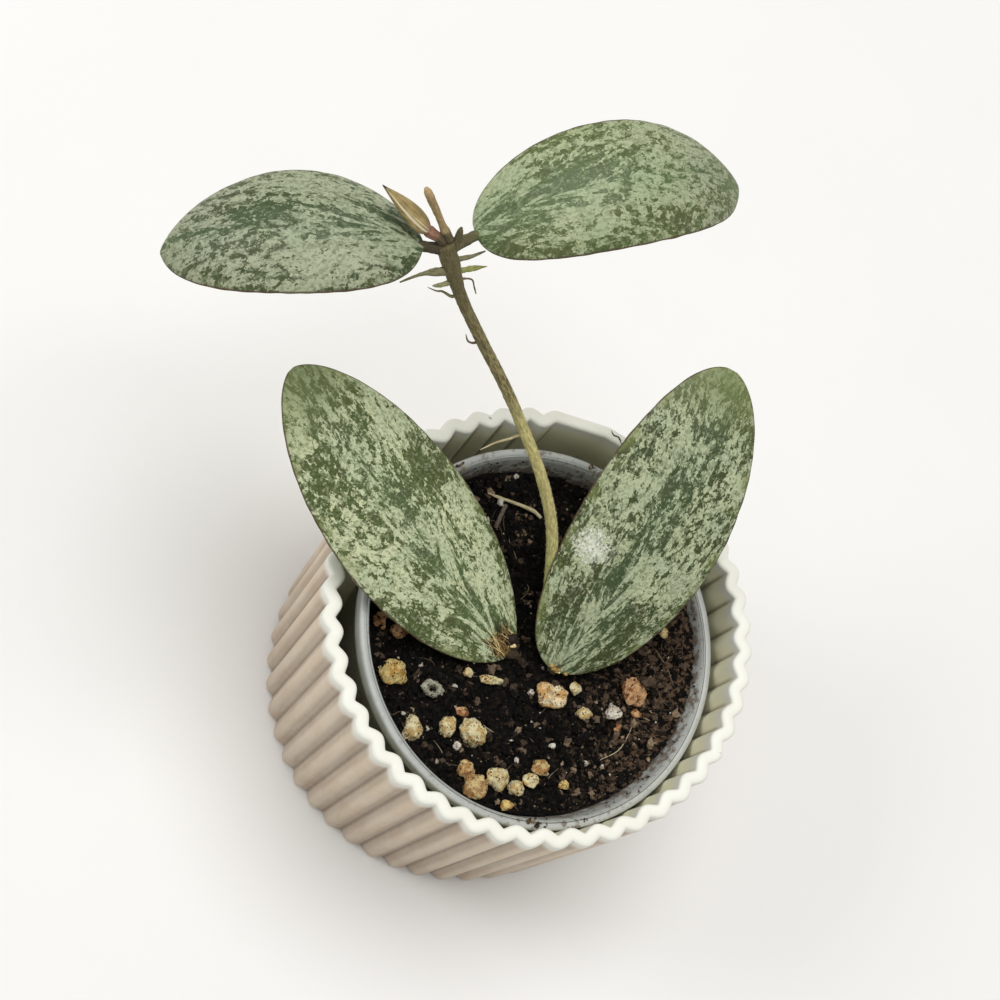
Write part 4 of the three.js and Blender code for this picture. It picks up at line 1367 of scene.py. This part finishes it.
# growing shoot and side bud
shoots = {
    "growing_shoot": {
        "piece": "young_shoot",
        "foot": stemWalk[-1] + (0.5, 0.6, 0.2),
        "tip": (-43.3, 44.7, 118.0),
        "radii": [
            0.9, 0.82, 0.78, 0.8, 0.66, 0.58, 0.56, 0.57, 0.58,
            0.6, 0.62, 0.64, 0.66, 0.68, 0.68, 0.62, 0.34,
        ],
        "darkTo": 0.2,
        "pale": (198, 170, 122),
    },
    "axillary_bud": {
        "piece": "side_bud",
        "foot": offStem(0.985, (-35.7, 42.9, 111.0), 0.9)[0],
        "tip": (-35.6, 43.1, 111.2),
        "radii": [0.7, 0.7, 0.68, 0.66, 0.62, 0.56, 0.46, 0.2],
        "darkTo": 0.5,
        "pale": (98, 92, 60),
    },
}
shootFoot = {"pale": (106, 96, 66), "dark": (70, 62, 40)}
for name, shoot in shoots.items():
    look = newLook(name.replace("_", " "))
    upper = alongPart(shoot["darkTo"] - 0.06, shoot["darkTo"] + 0.04)
    dark = mixed(upper, shootFoot["dark"], toned(shoot["pale"], 0.76))
    pale = mixed(upper, shootFoot["pale"], shoot["pale"])
    colour, height = barkColour(1.3, pale, dark)
    colour = mixed(alongPart(0.8, 1.0, 0.0, 0.55), colour, toned(shoot["pale"], 1.12))
    finishLook(colour, 0.66, height, 0.6, 0.14)
    middle = (np.array(shoot["foot"]) + shoot["tip"]) / 2 + (0.08, 0.0, 0.0)
    path = smoothPath([shoot["foot"], middle, shoot["tip"]], 70)
    addTube(shoot["piece"], path, shoot["radii"], 28, 0.08, 4.0, look, name)
print("young growth made")


# roots, bract and bud that spring from the stem
sprigs = {
    "aerial_root_left": {
        "at": 0.955, "look": "oliveRoot", "radii": [0.8, 0.7, 0.58, 0.32, 0.24, 0.2, 0.12],
        "via": [(-39.6, 37.1, 105.0), (-42.9, 35.2, 104.5)],
    },
    "aerial_root_right": {
        "at": 0.965, "look": "oliveRoot", "radii": [0.5, 0.42, 0.38, 0.3, 0.22, 0.12],
        "via": [(-32.6, 40.9, 106.4), (-30.3, 42.2, 106.8)],
    },
    "green_bract": {
        "at": 0.94, "look": "bract", "radii": [0.42, 0.5, 0.42, 0.5, 0.48, 0.34, 0.18, 0.05],
        "via": [(-31.6, 40.0, 104.4), (-29.2, 40.8, 104.6)],
    },
    "node_bud": {
        "at": 0.93, "look": "greyBud", "radii": [0.42, 0.45, 0.42, 0.38, 0.3, 0.12],
        "via": [(-36.4, 36.6, 103.2), (-37.4, 36.2, 103.5)],
    },
    "rootlet_left": {
        "at": 0.9, "look": "oliveRoot", "radii": [0.3, 0.24, 0.2, 0.16, 0.12, 0.06],
        "via": [(-35.3, 36.6, 101.4), (-36.4, 36.1, 102.2), (-38.0, 36.1, 102.8)],
    },
    "rootlet_right": {
        "at": 0.925, "look": "greyRoot", "radii": [0.24, 0.16, 0.14, 0.12, 0.14, 0.08],
        "via": [(-31.0, 38.9, 102.8), (-30.2, 38.4, 101.5), (-29.4, 38.0, 100.0)],
    },
    "stem_rootlet": {
        "at": 0.8, "look": "greyRoot", "radii": [0.26, 0.18, 0.14, 0.06],
        "via": [(-28.4, 32.4, 94.0), (-29.3, 32.9, 95.4)],
    },
    "back_root": {
        "at": 0.585, "look": "creamRoot", "radii": [0.3, 0.24, 0.2, 0.17, 0.14, 0.08],
        "via": [(-15.6, 23.6, 78.0), (-17.6, 22.9, 77.0), (-19.9, 21.6, 75.8)],
    },
}
lying = {
    "surface_root": {
        "look": "creamRoot", "radii": [0.16, 0.3, 0.3, 0.34, 0.4, 0.3],
        "via": [
            (-10.1, 24.2, 48.8), (-7.7, 23.8, 48.5), (-3.6, 23.2, 48.1),
            (-0.6, 22.5, 47.7), (0.7, 21.6, 47.5),
        ],
    },
    "soil_twig": {
        "look": "twig", "radii": [0.34, 0.42, 0.4, 0.42, 0.36],
        "via": [(-8.0, 18.0, 48.2), (-7.3, 20.4, 48.4), (-6.4, 22.7, 48.3)],
    },
}
sprigTones = {
    "oliveRoot": {"pale": (142, 140, 104), "dark": (104, 98, 70), "slot": "root"},
    "greyRoot": {"pale": (128, 112, 92), "dark": (88, 72, 62), "slot": "root"},
    "creamRoot": {"pale": (224, 212, 176), "dark": (176, 158, 112), "slot": "root"},
    "bract": {"pale": (172, 176, 100), "dark": (128, 134, 68), "slot": "green_bract"},
    "greyBud": {"pale": (168, 166, 124), "dark": (112, 114, 78), "slot": "green_bract"},
    "twig": {"pale": (112, 96, 84), "dark": (66, 54, 48), "slot": "bark"},
}
sprigLooks = {}
for key, tones in sprigTones.items():
    sprigLooks[key] = newLook(key)
    colour, height = barkColour(1.5, tones["pale"], tones["dark"])
    colour = mixed(alongPart(0.75, 1.0, 0.0, 0.5), colour, tones["pale"])
    finishLook(colour, 0.7, height, 0.5, 0.1)


def addSprig(prefix, name, sprig, path, bumpy, seed):
    look, slotName = sprigLooks[sprig["look"]], sprigTones[sprig["look"]]["slot"]
    addTube(prefix + name, path, sprig["radii"], 14, bumpy, seed, look, name)


for name, sprig in sprigs.items():
    start, out = offStem(sprig["at"], sprig["via"][0], 0.75)
    path = smoothPath([start, start + out * 0.5, *sprig["via"]], 44)
    addSprig("grown_", name, sprig, path, 0.2, sprig["at"] * 50)
for name, sprig in lying.items():
    addSprig("lying_", name, sprig, smoothPath(sprig["via"], 50), 0.25, 7.0)
print("roots made")


# dried fibres, a dark knob and a pale bit at the foot of the lower left leaf, and crumbs by the other
scar = {
    "fibres": 88,
    "seed": 63,
    "long": (1.0, 6.0),
    "fibreRadii": (0.08, 0.075, 0.05),
    "bits": [  # size, share along, share across, lift, tone
        (3.0, 0.045, -0.27, 0.9, 0.0),
        (1.1, 0.028, -0.3, 1.25, 0.9),
    ],
    "crumbs": 9,
    "dark": (30, 15, 9),
    "gold": (172, 136, 74),
    "pale": (248, 230, 172),
}


def scarParts():
    rng = np.random.default_rng(scar["seed"])
    leaf = leaves["lower_left"]
    parts = []
    for i in range(scar["fibres"]):
        u, v = rng.uniform(0.012, 0.045), rng.uniform(-0.65, 0.65)
        foot = leafPoints(leaf, u, v, halfThick(leaf, u))
        farU = np.clip(u + rng.uniform(*scar["long"]) / leaf["length"], 0.02, 0.2)
        farV = np.clip(v * 0.25 + rng.normal(scale=0.18), -0.7, 0.7)
        tip = leafPoints(leaf, farU, farV, halfThick(leaf, farU) + rng.uniform(0.0, 0.5))
        middle = (foot + tip) / 2 + leafAxes(leaf)[2] * rng.uniform(0.0, 0.5) + rng.normal(scale=0.18, size=3)
        thick = rng.uniform(0.6, 1.4)
        radii = [radius * thick for radius in scar["fibreRadii"]]
        parts.append(thread([foot, middle, tip], 12, [*radii, 0.03], 5, rng.uniform() ** 1.3))
    for size, u, v, lift, tone in scar["bits"]:
        shape, sides = lump(3, (size, size * 0.8, size * 0.7), 0.5, size, 1.4)
        parts.append((shape + leafPoints(leaf, u, v, lift), sides, tone))
    other = leaves["lower_right"]
    for i in range(scar["crumbs"]):
        u, v = rng.uniform(0.002, 0.02), rng.uniform(-0.9, 0.5)
        size = rng.uniform(0.5, 1.0)
        shape, sides = lump(2, (size, size * 0.9, size * 0.8), 0.5, i * 1.7, 1.4)
        parts.append((shape + leafPoints(other, u, v, halfThick(other, u)), sides, rng.uniform(0.3, 1.0)))
    return joined(parts)


scarLook = newLook("dried golden fibres")
tone = named("tone")
colour = mixed(between(tone, 0.1, 0.5), scar["dark"], scar["gold"])
colour = mixed(between(tone, 0.5, 0.9), colour, scar["pale"])
finishLook(colour, 0.75, fineGrain(5.0, 4.0), 0.5, 0.1)
points, faces, tones = scarParts()
addPiece("dried_fibres", points, faces, scarLook, None, {"tone": tones})
print("scar made")


# floor and light
studio = {
    "floor": (247, 247, 246),
    "floorShade": (242, 242, 240),
    "floorGap": 0.02,  # so that the pot's foot and the floor do not share a plane
    "air": (1.0, 0.985, 0.96),
    "airStrength": 0.36,
    "lamps": {
        "over": {
            "place": (40, 200, 1480), "aim": (-10, 10, 50),
            "size": 1100, "watts": 14.0, "tint": (1.0, 0.99, 0.97),
        },
        "left": {
            "place": (-1200, 300, 1000), "aim": (0, 0, 60),
            "size": 600, "watts": 5.0, "tint": (0.98, 0.99, 1.0),
        },
    },
}
floorLook = newLook("pale floor")
finishLook(mixed(mottle(60.0, 3.0, 2.0) * 0.25, studio["floor"], studio["floorShade"]), 0.8)
grid = bmesh.new()
bmesh.ops.create_grid(grid, x_segments=24, y_segments=24, size=3.0)
floorMesh = bpy.data.meshes.new("floor")
grid.to_mesh(floorMesh)
grid.free()
floorMesh.materials.append(floorLook)
floorPiece = linked("floor", floorMesh)
floorPiece.location.z = -studio["floorGap"] * mm

world = bpy.data.worlds.new("studio air")
world.use_nodes = True
world.node_tree.nodes["Background"].inputs[0].default_value = (*studio["air"], 1)
world.node_tree.nodes["Background"].inputs[1].default_value = studio["airStrength"]
bpy.context.scene.world = world
for name, lamp in studio["lamps"].items():
    light = bpy.data.lights.new(name, "AREA")
    light.shape = "DISK"
    light.size = lamp["size"] * mm
    light.energy = lamp["watts"]
    light.color = lamp["tint"]
    lampPiece = linked(name, light)
    lampPiece.location = Vector(lamp["place"]) * mm
    lampPiece.rotation_mode = "QUATERNION"
    aim = Vector(lamp["aim"]) - Vector(lamp["place"])
    lampPiece.rotation_quaternion = aim.to_track_quat("-Z", "Y")
bpy.context.scene.view_settings.view_transform = "Standard"
print("studio lit")
